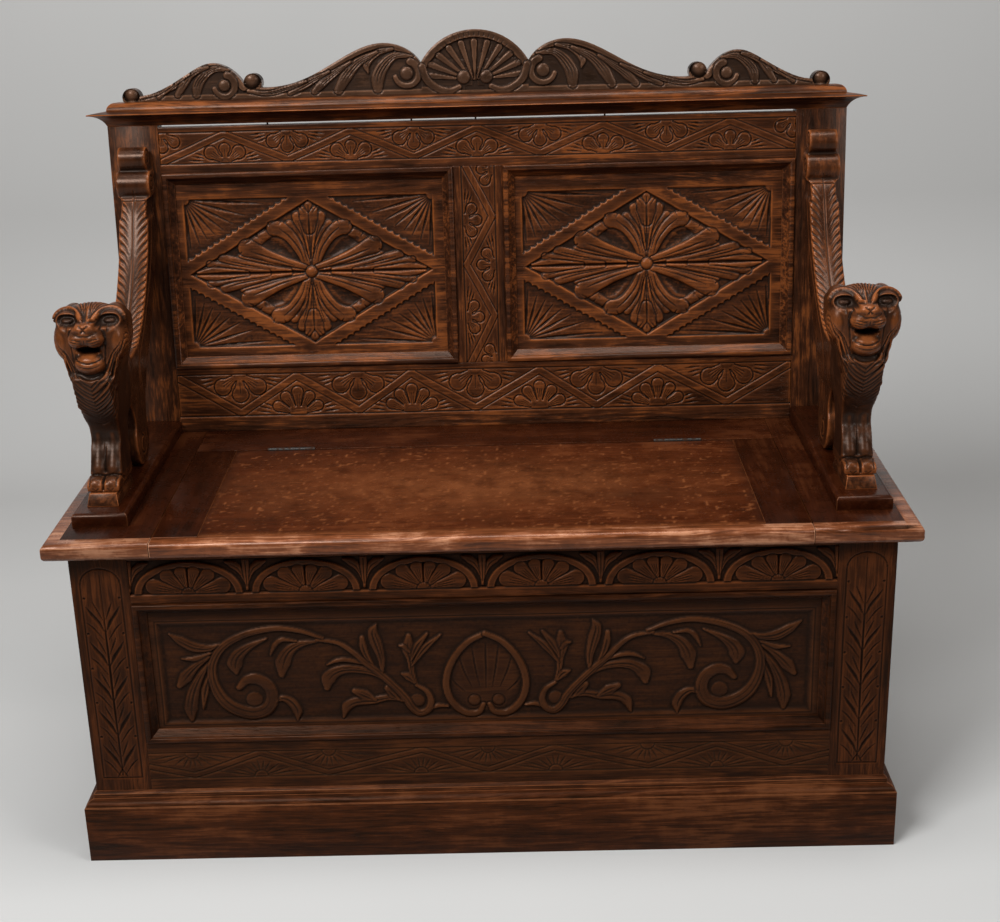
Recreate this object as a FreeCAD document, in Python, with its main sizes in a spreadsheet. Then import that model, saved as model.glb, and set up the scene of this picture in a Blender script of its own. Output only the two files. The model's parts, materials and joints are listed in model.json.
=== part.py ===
"""Oak settle bench: a panelled box with a lift-up seat, a raked panelled back and two lion arms.

Millimetres, +Z up. The origin is on the floor at the middle of the bench's footprint, +X is to the
right as one faces the bench and +Y points from the front to the back.
"""
import FreeCAD, Part
import math
import os
import re

import Sketcher

Vector = FreeCAD.Vector
Placement = FreeCAD.Placement
Rotation = FreeCAD.Rotation

# Driving sizes, one row each: name, value, what it measures
SIZES = [
    ("seat_width", 1070, "seat slab over its side nosings"),
    ("seat_height", 452, "floor to the top of the seat"),
    ("seat_thick", 22, "seat boards and lid"),
    ("seat_depth", 418, "front of the slab to the front of the back"),
    ("seat_overhang", 25, "slab beyond the box at the front and the sides"),
    ("nosing_width", 20, "rounded edge strip of the slab"),
    ("nosing_round", 7, "radius of the nosing's upper and lower edges"),
    ("lid_width", 806, "lid over its cleats"),
    ("lid_depth", 312, "lid without its nosing"),
    ("lid_gap", 0.8, "clearance on each side of the lid"),
    ("cleat_width", 57, "end cleats of the lid"),
    ("tongue_long", 12, "tongues on the lid board and the panels' edges"),
    ("tongue_thick", 7, "tongues of the lid board"),
    ("tongue_inset", 20, "end of a lid tongue from the board's edge"),
    ("joint_gap", 0.2, "clearance round tenons, tongues and panels"),
    ("tenon_long", 30, "tenons of the rails"),
    ("tenon_thick", 9, "thickness of the tenons"),
    ("tenon_shoulder", 14, "shoulder above and below a tenon"),
    ("side_tenon", 20, "tenons of the side rails"),
    ("stile_width", 72, "front stiles, seen from the front"),
    ("stile_thick", 34, "front stiles, front to back"),
    ("rail_thick", 24, "rails of the box"),
    ("panel_top_drop", 91.5, "seat top down to the top edge of the front panel's moulding"),
    ("panel_bottom", 165, "floor to the lower edge of the front panel's moulding"),
    ("rail_low", 40, "floor to the lower edge of the bottom rails"),
    ("panel_thick", 12, "carved panels"),
    ("panel_sink", 10, "panel face behind the frame's face"),
    ("panel_edge_set", 2, "face of a carved panel to its edge tongue"),
    ("panel_edge_thick", 6, "edge tongues of the carved panels"),
    ("moulding_width", 16, "panel mouldings"),
    ("moulding_proud", 4, "panel mouldings beyond the frame's face"),
    ("bead_round", 3, "rounded edges of the mouldings' bead"),
    ("bead_flat", 2, "flat of the bead between its rounded edges"),
    ("moulding_step", 1, "small steps above and below the mouldings' hollow"),
    ("moulding_foot", 2, "inner edge of the mouldings against the panel"),
    ("side_panel_thick", 10, "plain panels of the sides and the rear"),
    ("side_rail_top", 70, "side top rails, height"),
    ("side_rail_bottom", 90, "side bottom rails, height"),
    ("plinth_thick", 15, "plinth boards"),
    ("plinth_height", 97, "plinth with its moulded top"),
    ("plinth_face", 78, "flat face of the plinth"),
    ("plinth_quirk", 2, "step between the plinth's face and its rounded edge"),
    ("plinth_lip", 4, "upper lip of the plinth"),
    ("post_width", 69, "rear posts, seen from the front"),
    ("post_thick", 30, "rear posts, front to back"),
    ("rake", 5, "lean of the back in degrees"),
    ("back_rail_low", 93, "bottom rail of the back, height"),
    ("back_panel_high", 278, "panel openings of the back"),
    ("back_rail_top", 63, "top rail of the back, height"),
    ("back_rail_thick", 26, "rails and muntin of the back"),
    ("back_slit", 3, "slit between the top rail and the cornice"),
    ("muntin_width", 69, "upright between the two back panels"),
    ("cornice_overhang", 23, "cornice beyond the posts at the front and the ends"),
    ("cornice_cove", 15.5, "height of the cornice's cove"),
    ("cornice_edge", 5.5, "height of the cornice's upper edge"),
    ("cornice_lip", 1.5, "upright edge at the cornice's tip"),
    ("strip_height", 11, "quarter-round strip on the cornice"),
    ("strip_setback", 2, "ends of the posts to the ends of the strip"),
    ("crest_height", 85.5, "top of the strip to the top of the cresting"),
    ("crest_thick", 22, "cresting board"),
    ("crest_back", 2, "cresting behind the face of the back"),
    ("arm_inset", 36, "end of the box in to the middle of an arm"),
    ("arm_thick", 47, "plank of an arm"),
    ("wing_thick", 40, "leaf of an arm, between its scroll and the lion"),
    ("arm_top", 410, "seat top to the top of the arm's scroll"),
    ("arm_reach", 335, "back to the lion's muzzle, at the muzzle's height"),
    ("arm_base_width", 70, "arm base"),
    ("arm_base_height", 18, "arm base"),
    ("arm_base_setback", 57, "slab's front edge to the arm base"),
    ("arm_base_round", 6, "quarter-round edge of the arm base"),
    ("paw_block_margin", 10, "block under the paw beyond the toes"),
    ("paw_block_width", 40, "block under the paw"),
    ("paw_block_taper", 3, "lean of the block's sides"),
    ("head_width", 82, "lion's head"),
    ("board_thick", 12, "bottom boards of the box"),
    ("bearer_size", 20, "bearers under the bottom boards and the lid"),
    ("bottom_height", 75, "floor to the underside of the bottom boards"),
    ("board_gap", 2, "gap between bottom boards"),
    ("board_play", 1, "clearance of the bottom boards in the box"),
    ("hinge_place", 270, "middle of the bench to the middle of a hinge"),
    ("hinge_long", 66, "hinge along its pin"),
    ("leaf_thick", 1.6, "hinge leaf"),
    ("leaf_high", 17, "hinge leaf below its pin"),
    ("leaf_drop", 0.6, "seat top to the upper edge of a leaf"),
    ("leaf_gap", 0.05, "clearance of a leaf in its recess"),
    ("barrel_radius", 3, "hinge barrel"),
    ("pin_radius", 1.5, "hinge pin"),
    ("pin_gap", 0.06, "clearance of the pin in the barrel"),
    ("barrel_gap", 0.5, "clearance round and between the knuckles"),
]

# Sizes that follow from the driving ones
DERIVED = [
    ("crest_foot", "back_rail_low + back_panel_high + back_rail_top + back_slit + cornice_cove"
                   " + cornice_edge + strip_height"),
    ("front_edge", "-(seat_depth + (crest_foot + crest_height) * sin(rake * 1deg)"
                   " + (crest_back + crest_thick) * cos(rake * 1deg)) / 2"),
    ("box_front", "front_edge + seat_overhang"),
    ("box_half", "seat_width / 2 - seat_overhang"),
    ("back_face", "front_edge + seat_depth"),
    ("box_rear", "back_face + post_thick"),
    ("seat_under", "seat_height - seat_thick"),
    ("nosing_line", "front_edge + nosing_width"),
    ("hinge_line", "nosing_line + lid_depth"),
    ("panel_top", "seat_height - panel_top_drop"),
    ("stile_inner", "box_half - stile_width"),
    ("post_inner", "box_half - post_width"),
    ("arm_centre", "box_half - arm_inset"),
    ("post_rise", "back_rail_low + back_panel_high + back_rail_top + back_slit"),
    ("strip_foot", "post_rise + cornice_cove + cornice_edge"),
]

doc = FreeCAD.newDocument("settle_bench")
sheet = doc.addObject("Spreadsheet::Sheet", "Sizes")
for row, (alias, value, note) in enumerate(SIZES, start=1):
    sheet.set(f"A{row}", note)
    sheet.set(f"B{row}", str(value))
    sheet.setAlias(f"B{row}", alias)
for row, (alias, formula) in enumerate(DERIVED, start=len(SIZES) + 1):
    sheet.set(f"B{row}", "=" + formula)
    sheet.setAlias(f"B{row}", alias)
doc.recompute()
ALIASES = [row[0] for row in SIZES + DERIVED]


def size(alias):
    """The present value of a named size."""
    return float(getattr(sheet, alias))


def bound(formula):
    """A formula over named sizes, written for the expression engine."""
    return re.sub(r"[a-z_]+\b(?!\()", lambda word: "Sizes." + word[0] if word[0] in ALIASES else word[0],
                  str(formula))


def value_of(formula):
    """The present value of a formula over named sizes."""
    return float(sheet.evalExpression(bound(formula)))


def put(item, x="0", y="0", z="0", raked=False):
    """Ties an object's place to the sheet; raked places are depth and height along the leaning back."""
    if raked:
        item.Placement = Placement(Vector(), Rotation(Vector(-1, 0, 0), size("rake")))
        item.setExpression(".Placement.Rotation.Angle", bound("rake"))
        lean, rise = "sin(rake * 1deg)", "cos(rake * 1deg)"
        y, z = (f"back_face + ({y}) * {rise} + ({z}) * {lean}",
                f"seat_height - ({y}) * {lean} + ({z}) * {rise}")
    for axis, formula in (("x", x), ("y", y), ("z", z)):
        item.setExpression(".Placement.Base." + axis, bound(formula))
    return item


def block(name, x, y, z, raked=False):
    """A rectangular block between two planes along each axis."""
    item = doc.addObject("Part::Box", name)
    for edge, (low, high) in (("Length", x), ("Width", y), ("Height", z)):
        item.setExpression(edge, bound(f"({high}) - ({low})"))
    return put(item, x[0], y[0], z[0], raked)


def rod(name, x, y, z, radius):
    """A round bar along X."""
    item = doc.addObject("Part::Cylinder", name)
    item.setExpression("Radius", bound(radius))
    item.setExpression("Height", bound(f"({x[1]}) - ({x[0]})"))
    item.Placement = Placement(Vector(), Rotation(Vector(0, 1, 0), 90))
    return put(item, x[0], y, z)


def tie(sketch, kind, geometry, point, formula, name):
    """Holds one coordinate of a sketch point to a formula."""
    index = sketch.addConstraint(Sketcher.Constraint(kind, -1, 1, geometry, point, value_of(formula)))
    sketch.renameConstraint(index, name)
    if bound(formula) != str(formula):
        sketch.setExpression(".Constraints." + name, bound(formula))


def draw(sketch, corners):
    """A closed outline. A corner is (x, y), or (x, y, centre x, centre y, turn) where an arc starts:
    turn is 1 for anticlockwise and -1 for clockwise."""
    flat = [(value_of(corner[0]), value_of(corner[1])) for corner in corners]
    ends = []
    for index, corner in enumerate(corners):
        start, end = flat[index], flat[(index + 1) % len(flat)]
        if len(corner) == 2:
            sketch.addGeometry(Part.LineSegment(Vector(*start), Vector(*end)), False)
            ends.append((1, 2))
            continue
        centre = (value_of(corner[2]), value_of(corner[3]))
        angles = [math.atan2(point[1] - centre[1], point[0] - centre[0]) for point in (start, end)]
        if corner[4] < 0:
            angles.reverse()
        circle = Part.Circle(Vector(*centre), Vector(0, 0, 1), math.dist(start, centre))
        sketch.addGeometry(Part.ArcOfCircle(circle, *angles), False)
        ends.append((1, 2) if corner[4] > 0 else (2, 1))
    for index, (first, last) in enumerate(ends):
        following = (index + 1) % len(ends)
        sketch.addConstraint(Sketcher.Constraint("Coincident", index, last, following, ends[following][0]))
    for index, corner in enumerate(corners):
        tie(sketch, "DistanceX", index, ends[index][0], corner[0], f"across_{index}")
        tie(sketch, "DistanceY", index, ends[index][0], corner[1], f"up_{index}")
        if len(corner) == 5:
            start, end = flat[index], flat[(index + 1) % len(flat)]
            if abs(end[1] - start[1]) > abs(end[0] - start[0]):
                tie(sketch, "DistanceX", index, 3, corner[2], f"centre_{index}")
            else:
                tie(sketch, "DistanceY", index, 3, corner[3], f"centre_{index}")


def prism(name, plane, corners, low, high, raked=False):
    """A body padded from an outline. Plane YZ runs along X, XZ along Y and XY along Z, from low to high."""
    item = doc.addObject("PartDesign::Body", name)
    sketch = item.newObject("Sketcher::SketchObject", name + "_outline")
    support = next(part for part in item.Origin.OriginFeatures if part.Role == plane + "_Plane")
    sketch.AttachmentSupport = (support, [""])
    sketch.MapMode = "FlatFace"
    draw(sketch, corners)
    pad = item.newObject("PartDesign::Pad", name + "_pad")
    pad.Profile = sketch
    pad.Reversed = plane == "XZ"
    pad.setExpression("Length", bound(f"({high}) - ({low})"))
    start = {"YZ": {"x": low}, "XZ": {"y": low}, "XY": {"z": low}}[plane]
    return put(item, raked=raked, **start)


def fuse(name, *items):
    """The items joined into one."""
    item = doc.addObject("Part::MultiFuse", name)
    item.Shapes = list(items)
    item.Refine = True
    return item


def cut(name, base, *tools):
    """The base with every tool taken away."""
    item = doc.addObject("Part::Cut", name)
    item.Base = base
    item.Tool = tools[0] if len(tools) == 1 else fuse(name + "_tools", *tools)
    item.Refine = True
    return item


def common(name, *items):
    """What the items share."""
    item = doc.addObject("Part::MultiCommon", name)
    item.Shapes = list(items)
    return item


def group(name, *items):
    """Separate solids kept as one sub-part."""
    item = doc.addObject("Part::Compound", name)
    item.Links = list(items)
    return item


NODES = {}


def node(name, item):
    """Names an object as one of the bench's sub-parts."""
    item.Label = name
    NODES[name] = item
    return item


def span(side, inner, outer):
    """A range along X on the right (side 1) or its mirror image on the left (side -1)."""
    return (inner, outer) if side > 0 else (f"-({outer})", f"-({inner})")


def mirror_x(corners, side):
    """An outline across X, mirrored for the left side. The turn of an arc swaps with it."""
    if side > 0:
        return corners
    flipped = []
    for corner in corners:
        if len(corner) == 2:
            flipped.append((f"-({corner[0]})", corner[1]))
        else:
            flipped.append((f"-({corner[0]})", corner[1], f"-({corner[2]})", corner[3], -corner[4]))
    return flipped


SIDES = ((-1, "left"), (1, "right"))


def grown(limits, by="joint_gap"):
    """A range widened by a clearance at both ends."""
    return f"({limits[0]}) - ({by})", f"({limits[1]}) + ({by})"


def tenoned(name, x, y, z, tenon, raked=False, along="x"):
    """A rail with a tenon at each end, and the mortise bar that cuts its stiles."""
    limits = {"x": x, "y": y, "z": z}
    thick = {"x": "y", "y": "x", "z": "y"}[along]
    wide = ({"x", "y", "z"} - {along, thick}).pop()
    bar = dict(limits)
    middle = f"(({limits[thick][0]}) + ({limits[thick][1]})) / 2"
    bar[thick] = (f"{middle} - tenon_thick / 2", f"{middle} + tenon_thick / 2")
    bar[wide] = (f"({limits[wide][0]}) + tenon_shoulder", f"({limits[wide][1]}) - tenon_shoulder")
    bar[along] = grown(limits[along], tenon)
    rail = fuse(name + "_rail", block(name + "_body", x, y, z, raked),
                block(name + "_bar", raked=raked, **bar))
    slot = {axis: grown(bar[axis]) for axis in bar}
    return rail, block(name + "_mortise", raked=raked, **slot)


def let_in(name, x, z, raked=False, y_from="0"):
    """A carved panel with a tongue all round, and the plate that cuts the grooves of its frame."""
    face = (f"{y_from} + panel_sink", f"{y_from} + panel_sink + panel_thick")
    tongue = (f"{face[0]} + panel_edge_set", f"{face[0]} + panel_edge_set + panel_edge_thick")
    wide, high = grown(x, "tongue_long"), grown(z, "tongue_long")
    panel = fuse(name + "_panel", block(name + "_face", x, face, z, raked),
                 block(name + "_tongue", wide, tongue, high, raked))
    return panel, block(name + "_groove", grown(wide), grown(tongue), grown(high), raked)


def framing(name, x, z, y_from="0", raked=False):
    """Four mitred lengths of panel moulding round an opening."""
    face = f"{y_from} - moulding_proud"
    back = f"{y_from} + panel_sink"
    width = "moulding_width"

    def profile(edge, sign):
        """The moulding's section: a bead at the outer edge, then a slope down to the panel."""
        def across(distance):
            return f"({edge}) + ({sign}) * ({distance})"
        near, far = "bead_round", "bead_round + bead_flat"
        eased, foot = f"{face} + bead_round", f"{back} - moulding_foot"
        return [(across("0"), back), (across("0"), eased, across(near), eased, sign),
                (across(near), face), (across(far), face, across(far), eased, sign),
                (across(f"{far} + bead_round"), eased),
                (across(f"{far} + bead_round + moulding_step"), f"{eased} + moulding_step"),
                (across(f"{width} - moulding_foot"), f"{foot} - moulding_step"),
                (across(width), foot), (across(width), back)]

    x_mid, z_mid = f"(({x[0]}) + ({x[1]})) / 2", f"(({z[0]}) + ({z[1]})) / 2"
    inner_x = (f"({x[0]}) + {width}", f"({x[1]}) - {width}")
    inner_z = (f"({z[0]}) + {width}", f"({z[1]}) - {width}")
    depth = (f"{face} - 1", f"{back} + 1")
    lengths = []
    for place, edge, sign in (("bottom", z[0], 1), ("top", z[1], -1)):
        section = [(corner[1], corner[0]) if len(corner) == 2 else
                   (corner[1], corner[0], corner[3], corner[2], -corner[4])
                   for corner in profile(edge, sign)]
        inner = inner_z[0] if sign > 0 else inner_z[1]
        run = prism(f"{name}_{place}_run", "YZ", section, x[0], x[1], raked)
        mitre = prism(f"{name}_{place}_mitre", "XZ", [(x[0], edge), (x[1], edge), (inner_x[1], inner),
                                                       (inner_x[0], inner)], *depth, raked)
        lengths.append(common(f"{name}_{place}", run, mitre))
    for place, edge, sign in (("left", x[0], 1), ("right", x[1], -1)):
        inner = inner_x[0] if sign > 0 else inner_x[1]
        run = prism(f"{name}_{place}_run", "XY", profile(edge, sign), z[0], z[1], raked)
        mitre = prism(f"{name}_{place}_mitre", "XZ", [(edge, z[0]), (inner, inner_z[0]), (inner, inner_z[1]),
                                                       (edge, z[1])], *depth, raked)
        lengths.append(common(f"{name}_{place}", run, mitre))
    return group(name + "_lengths", *lengths)


# Front of the box: two stiles, two rails and a long panel
FRONT_DEPTH = ("box_front", "box_front + rail_thick")
OPENING_X = ("-stile_inner", "stile_inner")
OPENING_Z = ("panel_bottom", "panel_top")
FRONT_TOP = ("panel_top", "seat_under")
FRONT_LOW = ("rail_low", "panel_bottom")
top_rail, top_mortise = tenoned("front_top", OPENING_X, FRONT_DEPTH, FRONT_TOP, "tenon_long")
low_rail, low_mortise = tenoned("front_low", OPENING_X, FRONT_DEPTH, FRONT_LOW, "tenon_long")
front_panel, front_groove = let_in("front", OPENING_X, OPENING_Z, y_from="box_front")
node("front_panel", front_panel)
node("front_top_rail", cut("front_top_rail_cut", top_rail, front_groove))
node("front_bottom_rail", cut("front_bottom_rail_cut", low_rail, front_groove))
node("front_panel_moulding", framing("front_moulding", OPENING_X, OPENING_Z, "box_front"))

# Ends of the box: plain framed panels between the front stiles and the rear posts
side_mortises = {}
for side, word in SIDES:
    outer = span(side, "box_half - rail_thick", "box_half")
    run = ("box_front + stile_thick", "back_face")
    top, top_slot = tenoned(f"side_top_{word}", outer, run, ("seat_under - side_rail_top", "seat_under"),
                            "side_tenon", along="y")
    low, low_slot = tenoned(f"side_low_{word}", outer, run, ("rail_low", "rail_low + side_rail_bottom"),
                            "side_tenon", along="y")
    plate_from = "box_half - rail_thick + panel_sink / 2"
    plate = span(side, plate_from, f"{plate_from} + side_panel_thick")
    high = ("rail_low + side_rail_bottom", "seat_under - side_rail_top")
    reach = (grown(run, "tongue_long"), grown(high, "tongue_long"))
    groove = block(f"side_groove_{word}", grown(plate), grown(reach[0]), grown(reach[1]))
    node(f"side_panel_{word}", block(f"side_panel_{word}_board", plate, *reach))
    node(f"side_top_rail_{word}", cut(f"side_top_rail_{word}_cut", top, groove))
    node(f"side_bottom_rail_{word}", cut(f"side_bottom_rail_{word}_cut", low, groove))
    side_mortises[side] = (top_slot, low_slot, groove)
    stile = block(f"front_stile_{word}_post", span(side, "stile_inner", "box_half"),
                  ("box_front", "box_front + stile_thick"), ("0", "seat_under"))
    node(f"front_stile_{word}", cut(f"front_stile_{word}_cut", stile, top_mortise, low_mortise,
                                    front_groove, *side_mortises[side]))

# Rear of the box: two rails and a plain panel between the posts
REAR_X = ("-post_inner", "post_inner")
REAR_DEPTH = ("back_face", "box_rear")
REAR_TOP = ("seat_under - side_rail_top", "seat_height - back_rail_thick * sin(rake * 1deg)")
REAR_LOW = ("rail_low", "rail_low + side_rail_bottom")
rear_top, rear_top_slot = tenoned("rear_top", REAR_X, REAR_DEPTH, REAR_TOP, "tenon_long")
rear_low, rear_low_slot = tenoned("rear_low", REAR_X, REAR_DEPTH, REAR_LOW, "tenon_long")
REAR_PLATE = ("back_face + panel_sink", "back_face + panel_sink + side_panel_thick")
rear_reach = (grown(REAR_X, "tongue_long"), grown((REAR_LOW[1], REAR_TOP[0]), "tongue_long"))
rear_groove = block("rear_groove", grown(rear_reach[0]), grown(REAR_PLATE), grown(rear_reach[1]))
node("box_rear_panel", block("rear_board", rear_reach[0], REAR_PLATE, rear_reach[1]))
node("box_rear_top_rail", cut("rear_top_cut", rear_top, rear_groove))
node("box_rear_bottom_rail", cut("rear_low_cut", rear_low, rear_groove))

# Back: rails, muntin and two panels on the leaning posts
PANEL_LOW, PANEL_HIGH = "back_rail_low", "back_rail_low + back_panel_high"
BACK_LOW = ("0", PANEL_LOW)
BACK_TOP = (PANEL_HIGH, f"{PANEL_HIGH} + back_rail_top")
BACK_DEPTH = ("0", "back_rail_thick")
back_low, back_low_slot = tenoned("back_low", REAR_X, BACK_DEPTH, BACK_LOW, "tenon_long", raked=True)
back_top, back_top_slot = tenoned("back_top", REAR_X, BACK_DEPTH, BACK_TOP, "tenon_long", raked=True)
muntin, muntin_slot = tenoned("muntin", ("-muntin_width / 2", "muntin_width / 2"), BACK_DEPTH,
                              (PANEL_LOW, PANEL_HIGH), "tenon_long", raked=True, along="z")
back_grooves = []
for side, word in SIDES:
    opening = span(side, "muntin_width / 2", "post_inner")
    panel, groove = let_in(f"back_{word}", opening, (PANEL_LOW, PANEL_HIGH), raked=True)
    back_grooves.append(groove)
    node(f"back_panel_{word}", panel)
    node(f"back_moulding_{word}", framing(f"back_{word}_moulding", opening, (PANEL_LOW, PANEL_HIGH),
                                          raked=True))
node("back_bottom_rail", cut("back_bottom_rail_cut", back_low, muntin_slot, *back_grooves))
node("back_top_rail", cut("back_top_rail_cut", back_top, muntin_slot, *back_grooves))
node("back_muntin", cut("back_muntin_cut", muntin, *back_grooves))

# Rear posts: upright to the seat, then leaning, sawn from one piece
POST_SIDE = [
    ("back_face", "0"), ("box_rear", "0"),
    ("box_rear", "seat_height - post_thick * tan(rake * 0.5deg)"),
    ("back_face + post_thick * cos(rake * 1deg) + post_rise * sin(rake * 1deg)",
     "seat_height - post_thick * sin(rake * 1deg) + post_rise * cos(rake * 1deg)"),
    ("back_face + post_rise * sin(rake * 1deg)", "seat_height + post_rise * cos(rake * 1deg)"),
    ("back_face", "seat_height"),
]
for side, word in SIDES:
    post = prism(f"rear_post_{word}_blank", "YZ", POST_SIDE, *span(side, "post_inner", "box_half"))
    node(f"rear_post_{word}", cut(f"rear_post_{word}_cut", post, back_low_slot, back_top_slot, rear_top_slot,
                                  rear_low_slot, rear_groove, *back_grooves, *side_mortises[side]))

# Plinth: boards with a rounded top edge, mitred at the front corners
def plinth_section(sign, face):
    """The plinth's section outwards from a face; sign is the outward direction."""
    def out(distance):
        return f"{face} + ({sign}) * ({distance})"
    return [(out("0"), "0"), (out("plinth_thick"), "0"), (out("plinth_thick"), "plinth_face"),
            (out("plinth_thick - plinth_quirk"), "plinth_face", out("plinth_lip"), "plinth_face", sign),
            (out("plinth_lip"), "plinth_face + plinth_thick - plinth_quirk - plinth_lip"),
            (out("plinth_lip"), "plinth_height - plinth_lip"), (out("0"), "plinth_height")]


OUT = "plinth_thick"
front_run = prism("plinth_front_run", "YZ", plinth_section(-1, "box_front"), f"-(box_half + {OUT})",
                  f"box_half + {OUT}")
front_plan = prism("plinth_front_plan", "XY", [
    (f"-(box_half + {OUT})", f"box_front - {OUT}"), (f"box_half + {OUT}", f"box_front - {OUT}"),
    ("box_half", "box_front"), ("-box_half", "box_front")], "0", "plinth_height")
node("plinth_front", common("plinth_front_mitred", front_run, front_plan))
for side, word in SIDES:
    run = prism(f"plinth_{word}_run", "XZ", plinth_section(side, f"{side} * box_half"),
                f"box_front - {OUT}", "box_rear")
    plan = prism(f"plinth_{word}_plan", "XY", mirror_x([
        ("box_half", "box_front"), (f"box_half + {OUT}", f"box_front - {OUT}"),
        (f"box_half + {OUT}", "box_rear"), ("box_half", "box_rear")], side), "0", "plinth_height")
    node(f"plinth_{word}", common(f"plinth_{word}_mitred", run, plan))

# Floor of the storage box: loose boards on two bearers
BOTTOM = ("bottom_height", "bottom_height + board_thick")
BOARDS = 4
board_run = ("box_front + stile_thick + board_play", "back_face - board_play")
board_pitch = f"(({board_run[1]}) - ({board_run[0]}) + board_gap) / {BOARDS}"
board_half = "box_half - rail_thick - board_play"
boards = []
for index in range(BOARDS):
    board_y = (f"{board_run[0]} + {index} * {board_pitch}",
               f"{board_run[0]} + {index + 1} * {board_pitch} - board_gap")
    boards.append(block(f"bottom_board_{index}", (f"-({board_half})", board_half), board_y, BOTTOM))
node("bottom_boards", group("bottom_board_set", *boards))
bearer_z = ("bottom_height - bearer_size", "bottom_height")
front_bearer_y = ("box_front + rail_thick", "box_front + rail_thick + bearer_size")
node("bottom_bearer_front", block("bearer_front", OPENING_X, front_bearer_y, bearer_z))
node("bottom_bearer_rear", block("bearer_rear", REAR_X, ("back_face - bearer_size", "back_face"), bearer_z))

# Seat: fixed boards at the ends, a hinge rail along the back and the lid between them
SLAB = ("seat_under", "seat_height")
NOSING_FACE = "seat_width / 2"
LID_HALF = "lid_width / 2"
side_inner = f"{LID_HALF} + lid_gap"


def nosing_section(sign, line):
    """The nosing's section outwards from its joint line; both edges are rounded."""
    def out(distance):
        return f"{line} + ({sign}) * ({distance})"
    edge, turn = out("nosing_width"), out("nosing_width - nosing_round")
    low, high = "seat_under + nosing_round", "seat_height - nosing_round"
    return [(out("0"), "seat_under"), (turn, "seat_under", turn, low, sign), (edge, low),
            (edge, high, turn, high, sign), (turn, "seat_height"), (out("0"), "seat_height")]


for side, word in SIDES:
    bearer = span(side, f"{LID_HALF} - bearer_size / 2", f"{LID_HALF} + bearer_size / 2")
    node(f"lid_bearer_{word}", block(f"lid_bearer_{word}_strip", bearer,
                                     ("box_front + rail_thick", "back_face"),
                                     ("seat_under - bearer_size", "seat_under")))
    board = block(f"seat_board_{word}_blank", span(side, side_inner, f"{NOSING_FACE} - nosing_width"),
                  ("nosing_line", "box_rear"), SLAB)
    notch = block(f"seat_board_{word}_notch", span(side, "post_inner - joint_gap", "box_half + joint_gap"),
                  ("back_face - joint_gap", "box_rear + 1"), grown(SLAB, "1"))
    rest = block(f"seat_board_{word}_rest", span(side, f"{side_inner} - 1", "post_inner"),
                 ("back_face", "box_rear + 1"), grown(SLAB, "1"))
    node(f"seat_board_{word}", cut(f"seat_board_{word}_cut", board, notch, rest))
    side_run = prism(f"side_nosing_{word}", "XZ",
                     nosing_section(side, f"{side} * ({NOSING_FACE} - nosing_width)"),
                     "front_edge", "box_rear")
    front_end = prism(f"side_nosing_{word}_end", "YZ", nosing_section(-1, "nosing_line")[:-1]
                      + [("box_rear", "seat_height"), ("box_rear", "seat_under")],
                      *span(side, f"{NOSING_FACE} - nosing_width", NOSING_FACE))
    corner = prism(f"front_nosing_{word}", "YZ", nosing_section(-1, "nosing_line"),
                   *span(side, side_inner, f"{NOSING_FACE} - nosing_width"))
    side_length = common(f"side_nosing_{word}_cut", side_run, front_end)
    node(f"seat_nosing_{word}", group(f"seat_nosing_{word}_set", side_length, corner))

lid_x = (f"-({LID_HALF} - cleat_width)", f"{LID_HALF} - cleat_width")
LID_Y = ("nosing_line", "hinge_line - lid_gap")
tongue_z = ("(seat_under + seat_height - tongue_thick) / 2",
            "(seat_under + seat_height + tongue_thick) / 2")
tongue_x, tongue_y = grown(lid_x, "tongue_long"), grown(LID_Y, "-tongue_inset")
lid_blank = fuse("lid_blank", block("lid_field", lid_x, LID_Y, SLAB),
                 block("lid_tongue", tongue_x, tongue_y, tongue_z))
tongue_slot = block("lid_tongue_slot", grown(tongue_x), grown(tongue_y), grown(tongue_z))
for side, word in SIDES:
    cleat = block(f"lid_cleat_{word}_blank", span(side, f"{LID_HALF} - cleat_width", LID_HALF), LID_Y, SLAB)
    node(f"lid_cleat_{word}", cut(f"lid_cleat_{word}_cut", cleat, tongue_slot))
node("lid_nosing", prism("lid_nosing_run", "YZ", nosing_section(-1, "nosing_line"),
                         f"-({LID_HALF})", LID_HALF))

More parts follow.
